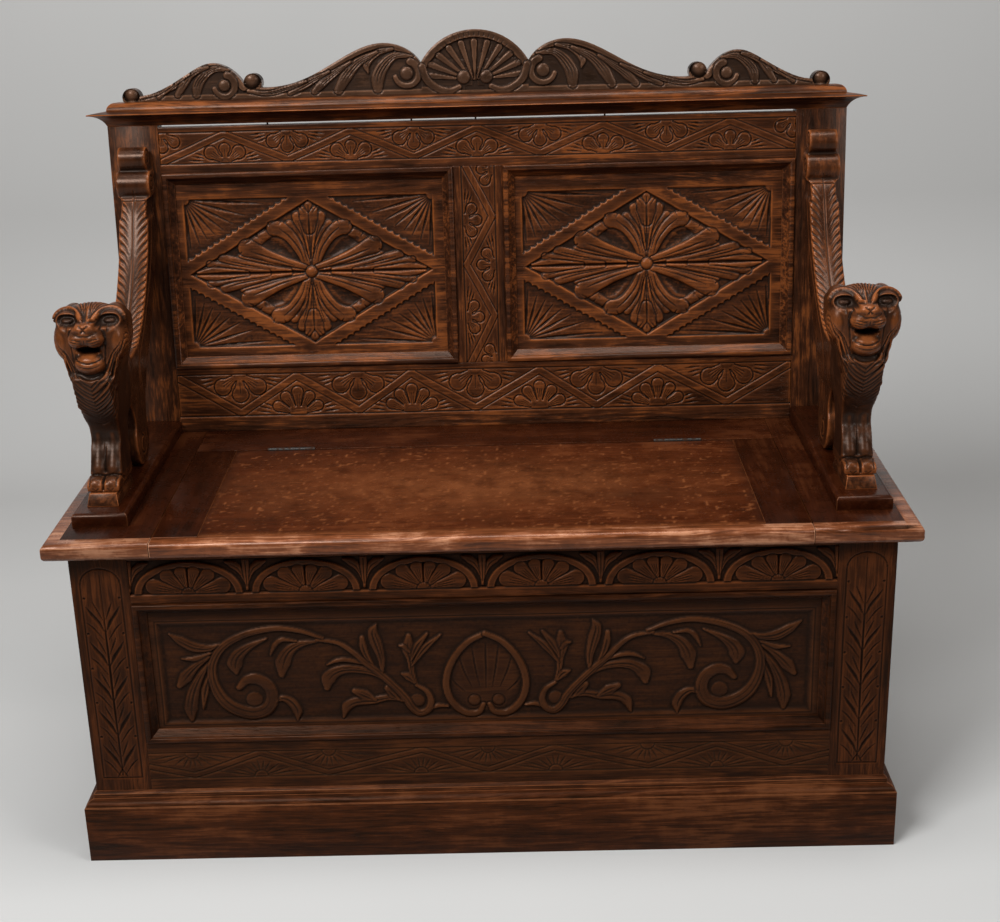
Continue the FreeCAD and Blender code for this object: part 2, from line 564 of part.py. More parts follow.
# Hinges: two butt hinges let into the edges of the lid and the rail, pins level with the seat's top
KNUCKLES = 5
rail_blank = block("hinge_rail_blank", (f"-({LID_HALF})", LID_HALF),
                   ("hinge_line + lid_gap", "back_face"), SLAB)
recesses = []
for side, word in SIDES:
    middle = f"{side} * hinge_place"
    limits = (f"{middle} - hinge_long / 2", f"{middle} + hinge_long / 2")
    axis = ("hinge_line", "seat_height")
    recesses.append(rod(f"hinge_recess_{word}", grown(limits, "barrel_gap"), *axis,
                        "barrel_radius + barrel_gap"))
    bore = rod(f"hinge_bore_{word}", grown(limits, "1"), *axis, "pin_radius + pin_gap")
    for kind, sign in (("fixed", 1), ("moving", -1)):
        plate_y = ("hinge_line + lid_gap", "hinge_line + lid_gap + leaf_thick")
        if sign < 0:
            plate_y = ("hinge_line - lid_gap - leaf_thick", "hinge_line - lid_gap")
        plate = block(f"leaf_{kind}_{word}", limits, plate_y,
                      ("seat_height - leaf_high", "seat_height - leaf_drop"))
        seat = block(f"leaf_seat_{kind}_{word}", grown(limits, "leaf_gap"), grown(plate_y, "leaf_gap"),
                     ("seat_height - leaf_high - leaf_gap", "seat_height + 1"))
        recesses.append(seat)
        barrels, clearings = [], []
        for index in range(KNUCKLES):
            start = f"{limits[0]} + {index} * hinge_long / {KNUCKLES}"
            reach = (start, f"{start} + hinge_long / {KNUCKLES}")
            if (index % 2 == 0) == (kind == "fixed"):
                barrels.append(rod(f"knuckle_{kind}_{word}_{index}", grown(reach, "-barrel_gap / 4"), *axis,
                                   "barrel_radius"))
            else:
                clearings.append(rod(f"clearing_{kind}_{word}_{index}", grown(reach, "barrel_gap / 4"), *axis,
                                     "barrel_radius + barrel_gap"))
        notched = cut(f"leaf_{kind}_{word}_notched", plate, *clearings)
        leaf = fuse(f"hinge_leaf_{kind}_{word}_blank", notched, *barrels)
        node(f"hinge_leaf_{kind}_{word}", cut(f"hinge_leaf_{kind}_{word}_bored", leaf, bore))
    node(f"hinge_pin_{word}", rod(f"hinge_pin_{word}_rod", limits, *axis, "pin_radius"))
node("hinge_rail", cut("hinge_rail_cut", rail_blank, *recesses))
node("lid_board", cut("lid_board_cut", lid_blank, *recesses))

# Cornice: a coved board on the posts with a sloping top, moulded on the front and both ends
SPREAD = "cornice_overhang"
COVE_RADIUS = f"({SPREAD} * {SPREAD} + cornice_cove * cornice_cove) / (2 * cornice_cove)"
CORNICE_TIP = "post_rise + cornice_cove"
CORNICE_LIP = f"{CORNICE_TIP} + cornice_lip"
CORNICE_HALF = f"box_half + {SPREAD}"
COVE_CENTRE = f"{CORNICE_TIP} - {COVE_RADIUS}"
STRIP_HALF = "box_half - strip_setback"
depth_section = [("post_thick", "post_rise"), ("post_thick", "strip_foot"),
                 ("crest_back - strip_height", "strip_foot"), (f"-{SPREAD}", CORNICE_LIP),
                 (f"-{SPREAD}", CORNICE_TIP, f"-{SPREAD}", COVE_CENTRE, -1), ("0", "post_rise")]
end_right = [("box_half", "post_rise", CORNICE_HALF, COVE_CENTRE, -1), (CORNICE_HALF, CORNICE_TIP),
             (CORNICE_HALF, CORNICE_LIP), (STRIP_HALF, "strip_foot")]
end_left = [(f"-({STRIP_HALF})", "strip_foot"), (f"-({CORNICE_HALF})", CORNICE_LIP),
            (f"-({CORNICE_HALF})", CORNICE_TIP, f"-({CORNICE_HALF})", COVE_CENTRE, -1),
            ("-box_half", "post_rise")]
cornice_run = prism("cornice_run", "YZ", depth_section, f"-({CORNICE_HALF})", CORNICE_HALF, raked=True)
cornice_ends = prism("cornice_ends", "XZ", end_right + end_left, f"-{SPREAD}", "post_thick", raked=True)
node("cornice", common("cornice_cut", cornice_run, cornice_ends))

# Quarter-round strip under the cresting
STRIP_TOP = "strip_foot + strip_height"
STRIP_DEPTH = ("crest_back - strip_height", "crest_back + crest_thick")
strip_section = [(STRIP_DEPTH[1], "strip_foot"), (STRIP_DEPTH[1], STRIP_TOP),
                 ("crest_back", STRIP_TOP, "crest_back", "strip_foot", 1), (STRIP_DEPTH[0], "strip_foot")]
strip_shoulder = f"{STRIP_HALF} - strip_height"
strip_ends = [(STRIP_HALF, "strip_foot", strip_shoulder, "strip_foot", 1), (strip_shoulder, STRIP_TOP),
              (f"-({strip_shoulder})", STRIP_TOP, f"-({strip_shoulder})", "strip_foot", 1),
              (f"-({STRIP_HALF})", "strip_foot")]
strip_run = prism("strip_run", "YZ", strip_section, f"-({STRIP_HALF})", STRIP_HALF, raked=True)
strip_plan = prism("strip_plan", "XZ", strip_ends, *STRIP_DEPTH, raked=True)
node("cresting_strip", common("cresting_strip_cut", strip_run, strip_plan))


def curve(points):
    """One smooth edge through points across and up a board."""
    line = Part.BSplineCurve()
    line.interpolate([Vector(across, 0, up) for across, up in points])
    return line.toShape()


def bow(start, through, end):
    """An arc through three points across and up a board."""
    return Part.Arc(*(Vector(across, 0, up) for across, up in (start, through, end))).toShape()


# Cresting: half of its outline, across from the middle and up from the strip, drawn for a board
# 994 wide and 85.5 high: the shell's round top, a large scroll, a ball, a small scroll and an end ball
DRAWN_HALF, DRAWN_HIGH = 497, 85.5
SHELL = ((0, 85.5), (40, 75.6), (74, 43))
LARGE_SCROLL = ((74, 43), (92, 61), (126, 70.4), (168, 59), (220, 31.5), (262, 17.5), (295, 15.5))
BALL = ((295, 15.5), (307, 34.5), (317.5, 19))
SMALL_SCROLL = ((317.5, 19), (336, 40.5), (360, 49.5), (392, 37.5), (426, 18.5), (462, 8))
END_BALL = ((462, 8), (474, 18.5), (485, 0))


def cresting_board():
    """The cresting as one board, its outline scaled to the named width and height."""
    wide = (size("box_half") - size("strip_setback") - size("strip_height")) / DRAWN_HALF
    high = size("crest_height") / DRAWN_HIGH

    def sized(points, side):
        return [(side * across * wide, up * high) for across, up in points]

    edges = []
    for side in (1, -1):
        edges += [bow(*sized(SHELL, side)), curve(sized(LARGE_SCROLL, side)), bow(*sized(BALL, side)),
                  curve(sized(SMALL_SCROLL, side)), bow(*sized(END_BALL, side))]
    left, right = sized(END_BALL, -1)[-1], sized(END_BALL, 1)[-1]
    edges.append(Part.makeLine(Vector(left[0], 0, left[1]), Vector(right[0], 0, right[1])))
    outline = Part.Wire(Part.__sortEdges__(edges))
    return Part.Face(outline).extrude(Vector(0, size("crest_thick"), 0))


cresting = doc.addObject("Part::Feature", "cresting_board")
cresting.Shape = cresting_board()
node("cresting", put(cresting, "0", "crest_back", STRIP_TOP, raked=True))

# Arms: each a plank sawn to the scroll, breast and leg of a lion, between a moulded base and the post.
# The outline is (forward of the back's foot, above the arm base), for a reach of 335 and a height of 392
DRAWN_REACH, DRAWN_ARM = 335, 392
TOP_ROLL = ((-34, 376), (-2, 376), (-16.4, 360))
NEXT_ROLL = ((-16.4, 360), (4, 341), (-2, 327.2))
WING_FRONT = ((-2, 327.2), (12, 312), (22, 294), (38, 262), (66, 224), (108, 184), (158, 158), (198, 154))
NAPE = ((198, 154), (221, 174), (238, 212), (262, 237), (288, 244))
FACE = ((288, 244), (310, 237), (326, 221), (332, 196), (328, 168))
BREAST = ((328, 168), (322, 140), (304, 108), (290, 88), (288, 70))
SHIN = ((288, 70), (300, 47), (309, 32), (324, 28), (327, 16))
LEG_BACK = ((250, 16), (249, 50), (242, 78), (224, 94), (208, 82), (201.4, 56.2))
FOOT_ROLL_FRONT = ((201.4, 56.2), (209, 33), (184.8, 0))
FOOT_ROLL_REAR = ((161.2, 0), (139, 22), (139.2, 46.3))
WING_BACK = ((139.2, 46.3), (134, 74), (116, 106), (76, 143), (30, 191), (-8, 241), (-30, 292))
SEATING = ((-30, 292), (-60, 292), (-60, 376), (-34, 376))

# Half thickness of the plank at heights above the base, for a plank 47 thick
DRAWN_THICK = 47
THICKNESS = ((20, 0), (20.5, 26), (19, 56), (19, 88), (21.5, 108), (23.5, 122), (23.5, 290), (17, 304),
             (17, 322), (23, 326), (23, 359), (19.5, 361), (19.5, 400))

# Where the plank narrows from the lion's neck to the leaf, forward of the back's foot, and the leaf's top
NECK_FRONT, NECK_REAR, LEAF_TOP = 216, 192, 324

# Cheeks: the blocks that widen the plank to the head and the mane, seen from the side, from the front
# and from above, for a head 82 wide
DRAWN_HEAD = 82
CHEEK_SIDE = ((238, 205), (252, 232), (284, 241), (310, 230), (323, 205), (322, 172), (315, 140), (299, 112),
              (280, 100), (258, 112), (242, 146), (238, 205))
CHEEK_FRONT = ((23.5, 122), (24.5, 140), (27, 158), (31, 173), (36, 188), (40.5, 204), (41, 220), (37, 234),
               (23.5, 244))
CHEEK_PLAN = ((23.5, 236), (38, 243), (41, 266), (40, 294), (33, 314), (23.5, 326))


def arm_point(forward, up, across=0.0):
    """A drawn arm point at its real size, before the arm is moved to its place."""
    reach = size("arm_reach") / DRAWN_REACH
    height = (size("arm_top") - size("arm_base_height")) / DRAWN_ARM
    return Vector(across, -forward * reach, up * height)


def smooth(points):
    """One smooth edge through points already at their real size."""
    line = Part.BSplineCurve()
    line.interpolate(list(points))
    return line.toShape()


def face_of(edges):
    """The flat face inside a ring of edges."""
    return Part.Face(Part.Wire(Part.__sortEdges__(edges)))


def sides_of(points):
    """The straight edges of a closed outline."""
    return [Part.makeLine(start, end) for start, end in zip(points, points[1:] + points[:1])]


def arm_plank():
    """The plank: its side outline cut through and its edges thinned at the neck and the leg."""
    side = [[arm_point(*point) for point in run] for run in (
        WING_FRONT, NAPE, FACE, BREAST, SHIN, LEG_BACK, WING_BACK)]
    rolls = [[arm_point(*point) for point in run] for run in (
        TOP_ROLL, NEXT_ROLL, FOOT_ROLL_FRONT, FOOT_ROLL_REAR)]
    edges = [smooth(run) for run in side] + [Part.Arc(*run).toShape() for run in rolls]
    seating = [arm_point(*point) for point in SEATING]
    edges += [Part.makeLine(start, end) for start, end in zip(seating, seating[1:])]
    edges.append(Part.makeLine(arm_point(*SHIN[-1]), arm_point(*LEG_BACK[0])))
    edges.append(Part.makeLine(arm_point(*FOOT_ROLL_FRONT[-1]), arm_point(*FOOT_ROLL_REAR[0])))
    half = size("arm_thick")
    sawn = face_of(edges)
    sawn.translate(Vector(-half, 0, 0))
    sawn = sawn.extrude(Vector(2 * half, 0, 0))
    scale = size("arm_thick") / DRAWN_THICK
    right = [arm_point(0, up, across * scale) for across, up in THICKNESS]
    left = [arm_point(0, up, -across * scale) for across, up in reversed(THICKNESS)]
    thinned = face_of(sides_of(right + left))
    thinned.translate(Vector(0, size("post_width"), 0))
    shaped = sawn.common(thinned.extrude(Vector(0, -2 * size("arm_reach"), 0)))
    return shaped.cut([beside_leaf(1), beside_leaf(-1)])


def beside_leaf(side):
    """What is sawn off one side of the plank to leave the leaf thinner than the lion."""
    leaf, plank, clear = (side * share for share in (
        size("wing_thick") / 2, size("arm_thick") / 2, size("arm_thick")))
    rear = -size("post_width")
    plan = face_of(sides_of([arm_point(rear, 0, leaf), arm_point(NECK_REAR, 0, leaf),
                             arm_point(NECK_FRONT, 0, plank), arm_point(NECK_FRONT, 0, clear),
                             arm_point(rear, 0, clear)]))
    return plan.extrude(arm_point(0, LEAF_TOP))


def cheek(side):
    """One block on the outside (side 1) or the inside (side -1) of the plank."""
    plank = size("arm_thick") / 2
    spread = (size("head_width") / 2 - plank) / ((DRAWN_HEAD - DRAWN_THICK) / 2)

    def across(drawn):
        return side * (plank + (drawn - DRAWN_THICK / 2) * spread)

    outline = face_of([smooth([arm_point(*point) for point in CHEEK_SIDE])])
    outline.translate(Vector(side * plank, 0, 0))
    block_side = outline.extrude(Vector(side * size("head_width"), 0, 0))
    front = [arm_point(0, up, across(drawn)) for drawn, up in CHEEK_FRONT]
    block_front = face_of([smooth(front), Part.makeLine(front[-1], front[0])])
    block_front = block_front.extrude(Vector(0, -2 * size("arm_reach"), 0))
    plan = [arm_point(forward, 0, across(drawn)) for drawn, forward in CHEEK_PLAN]
    block_plan = face_of([smooth(plan), Part.makeLine(plan[-1], plan[0])])
    block_plan = block_plan.extrude(Vector(0, 0, 2 * size("arm_top")))
    return block_side.common(block_front).common(block_plan)


ARM_FOOT = "seat_height + arm_base_height"
PAW_TAPER = "paw_block_taper"
back_solid = block("back_solid", ("-seat_width", "seat_width"), ("0", "4 * post_thick"),
                   ("-arm_top", "2 * arm_top"), raked=True)
for side, word in SIDES:
    centre = f"{side} * arm_centre"
    plank = doc.addObject("Part::Feature", f"lion_arm_{word}_plank")
    plank.Shape = arm_plank()
    put(plank, centre, "back_face", ARM_FOOT)
    node(f"lion_arm_{word}", cut(f"lion_arm_{word}_seated", plank, back_solid))
    cheeks = doc.addObject("Part::Feature", f"lion_cheeks_{word}_pair")
    cheeks.Shape = Part.makeCompound([cheek(-1), cheek(1)])
    node(f"lion_cheeks_{word}", put(cheeks, centre, "back_face", ARM_FOOT))

    base_x = (f"{centre} - arm_base_width / 2", f"{centre} + arm_base_width / 2")
    base_y = ("front_edge + arm_base_setback", "back_face")
    eased = f"{ARM_FOOT} - arm_base_round"
    inner, outer, front = (f"{base_x[0]} + arm_base_round", f"{base_x[1]} - arm_base_round",
                           f"{base_y[0]} + arm_base_round")
    base_run = prism(f"arm_base_{word}_run", "XZ", [
        (base_x[0], "seat_height"), (base_x[1], "seat_height"), (base_x[1], eased, outer, eased, 1),
        (outer, ARM_FOOT), (inner, ARM_FOOT, inner, eased, 1), (base_x[0], eased)], *base_y)
    base_end = prism(f"arm_base_{word}_end", "YZ", [
        (base_y[0], "seat_height"), (base_y[1], "seat_height"), (base_y[1], ARM_FOOT),
        (front, ARM_FOOT, front, eased, 1), (base_y[0], eased)], *base_x)
    node(f"arm_base_{word}", common(f"arm_base_{word}_cut", base_run, base_end))

    paw_x = (f"{centre} - paw_block_width / 2", f"{centre} + paw_block_width / 2")
    sole = [f"back_face - arm_reach * {point[0]} / {DRAWN_REACH}" for point in (SHIN[-1], LEG_BACK[0])]
    paw_y = (f"{sole[0]} - paw_block_margin", sole[1])
    paw_top = f"{ARM_FOOT} + (arm_top - arm_base_height) * {SHIN[-1][1]} / {DRAWN_ARM}"
    paw_front = prism(f"paw_block_{word}_front", "XZ", [
        (paw_x[0], ARM_FOOT), (paw_x[1], ARM_FOOT), (f"{paw_x[1]} - {PAW_TAPER}", paw_top),
        (f"{paw_x[0]} + {PAW_TAPER}", paw_top)], *paw_y)
    paw_side = prism(f"paw_block_{word}_side", "YZ", [
        (paw_y[0], ARM_FOOT), (paw_y[1], ARM_FOOT), (paw_y[1], paw_top),
        (f"{paw_y[0]} + 2 * {PAW_TAPER}", paw_top)], *paw_x)
    node(f"paw_block_{word}", common(f"paw_block_{word}_cut", paw_front, paw_side))

doc.recompute()
failed = [item.Name for item in doc.Objects if "Invalid" in item.State or "Error" in item.State]
if failed:
    raise RuntimeError("not built: " + ", ".join(failed))
for name, item in NODES.items():
    if item.Shape.isNull() or not item.Shape.isValid() or not item.Shape.Solids:
        raise RuntimeError("not a sound solid: " + name)
os.makedirs("parts", exist_ok=True)
for name, item in NODES.items():
    item.Shape.exportStep(os.path.join("parts", name + ".step"))
print(len(NODES), "sub-parts,", sum(len(item.Shape.Solids) for item in NODES.values()), "solids")
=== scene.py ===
"""Looks of the oak settle bench: carved boards, worn wood, two carved lions, iron hinges and a pale studio.

Sizes are millimetres in the bench's own frame, and meshes are written in metres. A carved board's
relief is read as height over its flat face: 0 is the face, below it is cut away.
"""
import json
import logging
import math
from contextlib import contextmanager
from dataclasses import dataclass
from enum import Enum
from functools import cache, reduce
from typing import Iterator, Sequence

import bmesh
import bpy
import numpy as np
from mathutils import Matrix, Vector


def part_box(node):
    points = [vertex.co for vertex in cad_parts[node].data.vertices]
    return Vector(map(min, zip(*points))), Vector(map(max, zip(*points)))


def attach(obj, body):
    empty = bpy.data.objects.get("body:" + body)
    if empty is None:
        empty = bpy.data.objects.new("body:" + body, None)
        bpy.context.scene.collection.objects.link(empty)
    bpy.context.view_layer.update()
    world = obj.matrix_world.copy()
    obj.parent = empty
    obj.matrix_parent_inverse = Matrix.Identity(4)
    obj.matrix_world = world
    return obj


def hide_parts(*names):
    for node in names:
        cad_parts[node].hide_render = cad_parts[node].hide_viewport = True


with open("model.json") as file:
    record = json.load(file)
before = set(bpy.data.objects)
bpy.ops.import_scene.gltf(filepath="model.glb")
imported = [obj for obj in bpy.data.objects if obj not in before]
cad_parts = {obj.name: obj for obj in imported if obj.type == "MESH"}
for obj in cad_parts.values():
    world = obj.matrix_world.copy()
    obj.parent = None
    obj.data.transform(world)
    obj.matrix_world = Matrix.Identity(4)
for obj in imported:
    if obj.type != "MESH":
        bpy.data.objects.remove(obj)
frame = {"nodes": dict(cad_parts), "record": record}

log = logging.getLogger("settle_bench")

METRE = 1000.0
RAKE = math.radians(5.0)
SIDES = (("left", -1), ("right", 1))
MERGED = 0.00002
FLAT = math.radians(0.6)
ON_FACE = 0.3
LEAST_WOOD = 0.8
Array = np.ndarray
Object = bpy.types.Object
Socket = bpy.types.NodeSocket
Point = tuple[float, float]
Triple = tuple[float, float, float]
Four = tuple[float, float, float, float]


class Grain(Enum):
    """Which way the grain of a piece runs, as the turn that lays the pattern's length along it."""
    ACROSS = (0.0, 0.0, 0.0)
    DEEP = (0.0, 0.0, math.pi / 2)
    UP = (0.0, math.pi / 2, 0.0)


@dataclass(frozen=True)
class Finish:
    """Oak as stained, waxed and worn on one part of the bench, and the painted shade of its hollows."""
    name: str
    slot: str
    dark: Triple
    mid: Triple
    worn: Triple
    # groove: the colour that hollows are darkened to, as painted shade
    groove: Triple = (0.006, 0.003, 0.002)
    roughness: float = 0.4
    coat: float = 0.25
    blotch: float = 0.5
    figure: float = 1.0
    shine: float = 0.4
    specular: float = 0.35


CARVED = Finish(
    "carved_oak", "carved_oak", (0.008, 0.003, 0.0015), (0.062, 0.018, 0.006), (0.16, 0.048, 0.015),
    roughness=0.36, coat=0.0, shine=0.4, specular=0.15, figure=1.15)
BACK = Finish(
    "back_oak", "carved_oak", (0.014, 0.005, 0.0025), (0.084, 0.026, 0.010), (0.30, 0.086, 0.020),
    roughness=0.34, coat=0.12, shine=0.6, figure=1.2, specular=0.25)
PANEL = Finish(
    "front_panel_oak", "carved_oak", (0.013, 0.005, 0.003), (0.045, 0.015, 0.006), (0.10, 0.034, 0.012),
    groove=(0.012, 0.006, 0.004), roughness=0.38, coat=0.0, shine=0.3, specular=0.15)
LOW = Finish(
    "low_carved_oak", "carved_oak", (0.011, 0.004, 0.002), (0.054, 0.017, 0.006), (0.13, 0.042, 0.014),
    groove=(0.03, 0.016, 0.009), roughness=0.40, coat=0.0, shine=0.35, specular=0.15, figure=1.4)
SEAT = Finish(
    "seat_oak", "seat_oak", (0.022, 0.005, 0.0015), (0.073, 0.0145, 0.0036), (0.21, 0.066, 0.022),
    roughness=0.28, coat=0.12, blotch=0.9, figure=0.6, shine=0.4, specular=0.2)
# The nosings' oak is a lit copy: its bright mid and worn colours are painted highlight.
LIT_NOSING = Finish(
    "nosing_oak_painted_light", "carved_oak", (0.050, 0.013, 0.004), (0.30, 0.088, 0.030), (0.66, 0.34, 0.20),
    roughness=0.25, coat=0.25, blotch=0.8, shine=0.6)
ARM = Finish("arm_oak", "arm_oak", (0.008, 0.003, 0.0015), (0.052, 0.016, 0.006), (0.30, 0.090, 0.026),
             roughness=0.28, coat=0.12, blotch=0.8, figure=0.7, shine=0.4, specular=0.3)
CREST = Finish(
    "crest_oak", "arm_oak", (0.008, 0.004, 0.002), (0.029, 0.0135, 0.0075), (0.13, 0.062, 0.034),
    roughness=0.34, coat=0.1, figure=0.8)
PLAIN = Finish(
    "plain_oak", "plain_oak", (0.018, 0.008, 0.005), (0.055, 0.022, 0.010), (0.13, 0.055, 0.026),
    roughness=0.55, coat=0.05, shine=0.2, specular=0.25)
PLINTH = Finish(
    "plinth_oak", "plinth_oak", (0.014, 0.005, 0.002), (0.086, 0.024, 0.008), (0.22, 0.080, 0.030),
    roughness=0.38, coat=0.0, shine=0.4, specular=0.15, figure=1.1)


def clear_selection() -> None:
    """Leaves edit mode and deselects everything."""
    if bpy.context.object is not None and bpy.context.object.mode != "OBJECT":
        bpy.ops.object.mode_set(mode="OBJECT")
    bpy.ops.object.select_all(action="DESELECT")


def hold(obj: Object) -> Object:
    """Makes an object the only one selected, and the active one."""
    clear_selection()
    obj.select_set(True)
    bpy.context.view_layer.objects.active = obj
    return obj


@contextmanager
def editing(obj: Object) -> Iterator[None]:
    """Edit mode on one object, with all of it selected at the start."""
    hold(obj)
    bpy.ops.object.mode_set(mode="EDIT")
    bpy.ops.mesh.select_all(action="SELECT")
    yield
    bpy.ops.object.mode_set(mode="OBJECT")


def read_all(rows: bpy.types.bpy_prop_collection, name: str, width: int, kind: type = np.float32) -> Array:
    """One property of every vertex, edge or face, one row each."""
    flat = np.zeros(len(rows) * width, kind)
    rows.foreach_get(name, flat)
    return flat.reshape(-1, width)


def points_of(obj: Object) -> Array:
    """The vertices of an object in millimetres, one row each."""
    return read_all(obj.data.vertices, "co", 3).astype(float) * METRE


def move_points(obj: Object, points: Array) -> None:
    """Sets the vertices of an object from rows in millimetres."""
    obj.data.vertices.foreach_set("co", (points / METRE).astype(np.float32).ravel())
    obj.data.update()


def paint(obj: Object, name: str, values: Array, domain: str = "POINT") -> None:
    """Stores one number per vertex or per face under a name that the finishes read."""
    layer = obj.data.attributes.get(name) or obj.data.attributes.new(name, "FLOAT", domain)
    layer.data.foreach_set("value", np.ascontiguousarray(values, dtype=np.float32))


def apply_modifier(obj: Object, kind: str, **settings: object) -> None:
    """Adds a modifier, sets it and applies it."""
    hold(obj)
    modifier = obj.modifiers.new(kind.lower(), kind)
    for key, value in settings.items():
        setattr(modifier, key, value)
    bpy.ops.object.modifier_apply(modifier=modifier.name)


def settle(obj: Object) -> Object:
    """Writes an object's place, turn and size into its mesh."""
    hold(obj)
    bpy.ops.object.transform_apply(location=True, rotation=True, scale=True)
    return obj


def joined(parts: Sequence[Object], name: str) -> Object:
    """Joins parts into the first one and names it."""
    hold(parts[0])
    for part in parts:
        part.select_set(True)
    if len(parts) > 1:
        bpy.ops.object.join()
    parts[0].name = name
    return parts[0]


def body_of_node(node: str) -> str:
    """The body that carries a node."""
    bodies = frame["record"]["behaviour"]["bodies"]
    return next(body for body, members in bodies.items() if node in members)


def copy_of(node: str, name: str) -> Object:
    """A piece with a node's shape as one closed mesh of large faces.

    Args:
        node: the node to copy.
        name: the name of the new piece.
    Returns:
        The new object, at the origin.
    """
    obj = bpy.data.objects.new(name, frame["nodes"][node].data.copy())
    obj.data.name = name
    obj.data.materials.clear()
    bpy.context.scene.collection.objects.link(obj)
    with editing(obj):
        bpy.ops.mesh.remove_doubles(threshold=MERGED)
        bpy.ops.mesh.dissolve_limited(angle_limit=FLAT)
    return obj


def enrolled(obj: Object, material: bpy.types.Material, slot: str, nodes: Sequence[str], body: str,
             angle: float = 35.0) -> Object:
    """Gives a finished piece its material, its body and the nodes that it stands for.

    Args:
        obj: the piece, with its place in its mesh.
        material: what it is made of.
        slot: the record's name for that; not used.
        nodes: the nodes that it replaces.
        body: the body that it rides on.
        angle: edges sharper than this, in degrees, stay sharp.
    Returns:
        The same object.
    """
    obj.data.materials.clear()
    obj.data.materials.append(material)
    hold(obj)
    bpy.ops.object.shade_smooth_by_angle(angle=math.radians(angle))
    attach(obj, body)
    if nodes:
        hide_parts(*nodes)
    log.info("%s: %d faces on %s", obj.name, len(obj.data.polygons), body)
    return obj


def dressed(obj: Object, finish: Finish, grain: Grain, nodes: Sequence[str], tone: float = 1.0,
            angle: float = 35.0) -> Object:
    """Enrols a wooden piece on the body of the nodes that it stands for; tone is its lightness."""
    for mark in ("recess", "wear"):
        if obj.data.attributes.get(mark) is None:
            paint(obj, mark, np.zeros(len(obj.data.vertices)))
    paint(obj, "tone", np.full(len(obj.data.vertices), tone))
    return enrolled(obj, Oak.material(finish, grain), finish.slot, nodes, body_of_node(nodes[0]), angle)


class NodeTree:
    """A short way to write shader nodes."""

    def __init__(self, tree: bpy.types.NodeTree) -> None:
        """Holds the tree that nodes go into."""
        self.tree = tree

    def add(self, kind: str, inputs: dict | None = None, **settings: object) -> bpy.types.Node:
        """Adds a node, sets it, and links or sets its inputs."""
        made = self.tree.nodes.new(kind)
        for key, value in settings.items():
            setattr(made, key, value)
        self.feed(made, inputs or {})
        return made

    def feed(self, node: bpy.types.Node, inputs: dict) -> None:
        """Links or sets inputs of a node."""
        for key, value in inputs.items():
            if isinstance(value, Socket):
                self.tree.links.new(value, node.inputs[key])
            else:
                node.inputs[key].default_value = value

    def math(self, operation: str, first: object, second: object = 0.0, clamp: bool = False) -> Socket:
        """One sum on two values."""
        sums = {"operation": operation, "use_clamp": clamp}
        return self.add("ShaderNodeMath", {0: first, 1: second}, **sums).outputs[0]

    def weighed(self, *pairs: tuple[object, float]) -> Socket:
        """Values added up, each times its weight."""
        terms = [self.math("MULTIPLY", value, weight) for value, weight in pairs]
        return reduce(lambda first, second: self.math("ADD", first, second), terms)

    def ramp(self, value: object, low: float, high: float, start: float = 0.0, end: float = 1.0) -> Socket:
        """A value spread smoothly from a low to a high mark."""
        return self.add("ShaderNodeMapRange", {"Value": value, "From Min": low, "From Max": high,
                                               "To Min": start, "To Max": end},
                        interpolation_type="SMOOTHSTEP").outputs["Result"]

    def mix(self, share: object, first: object, second: object) -> Socket:
        """One colour over another."""
        return self.add(
            "ShaderNodeMix", {"Factor": share, "A": first, "B": second}, data_type="RGBA").outputs["Result"]

    def noise(self, vector: object, scale: float, detail: float = 3.0, roughness: float = 0.55,
              distortion: float = 0.0) -> Socket:
        """Noise from 0 to 1."""
        return self.add("ShaderNodeTexNoise", {"Vector": vector, "Scale": scale, "Detail": detail,
                                               "Roughness": roughness,
                                               "Distortion": distortion}).outputs["Fac"]

    def stretched(self, vector: object, along: float, beside: float) -> Socket:
        """A vector scaled along the grain and beside it."""
        scale = (along, beside, beside)
        return self.add("ShaderNodeMapping", {"Vector": vector, "Scale": scale}).outputs["Vector"]

    def place(self) -> Socket:
        """Where a point lies in the bench's frame."""
        return self.add("ShaderNodeTexCoord").outputs["Object"]


def fresh_material(name: str) -> tuple[bpy.types.Material, NodeTree, bpy.types.Node]:
    """A new material, the short writer of its tree and its shader."""
    made = bpy.data.materials.new(name)
    made.use_nodes = True
    return made, NodeTree(made.node_tree), made.node_tree.nodes["Principled BSDF"]


def group_tree(name: str, inputs: dict[str, str], outputs: dict[str, str]) -> tuple:
    """A new node group with named sockets.

    Args:
        name: the group's name.
        inputs: each input's name with its socket type.
        outputs: each output's name with its socket type.
    Returns:
        The short writer of the group's tree, and the sockets that bring the inputs.
    """
    tree = bpy.data.node_groups.new(name, "ShaderNodeTree")
    for way, sockets in (("INPUT", inputs), ("OUTPUT", outputs)):
        for key, kind in sockets.items():
            tree.interface.new_socket(key, in_out=way, socket_type="NodeSocket" + kind)
    write = NodeTree(tree)
    return write, write.add("NodeGroupInput").outputs


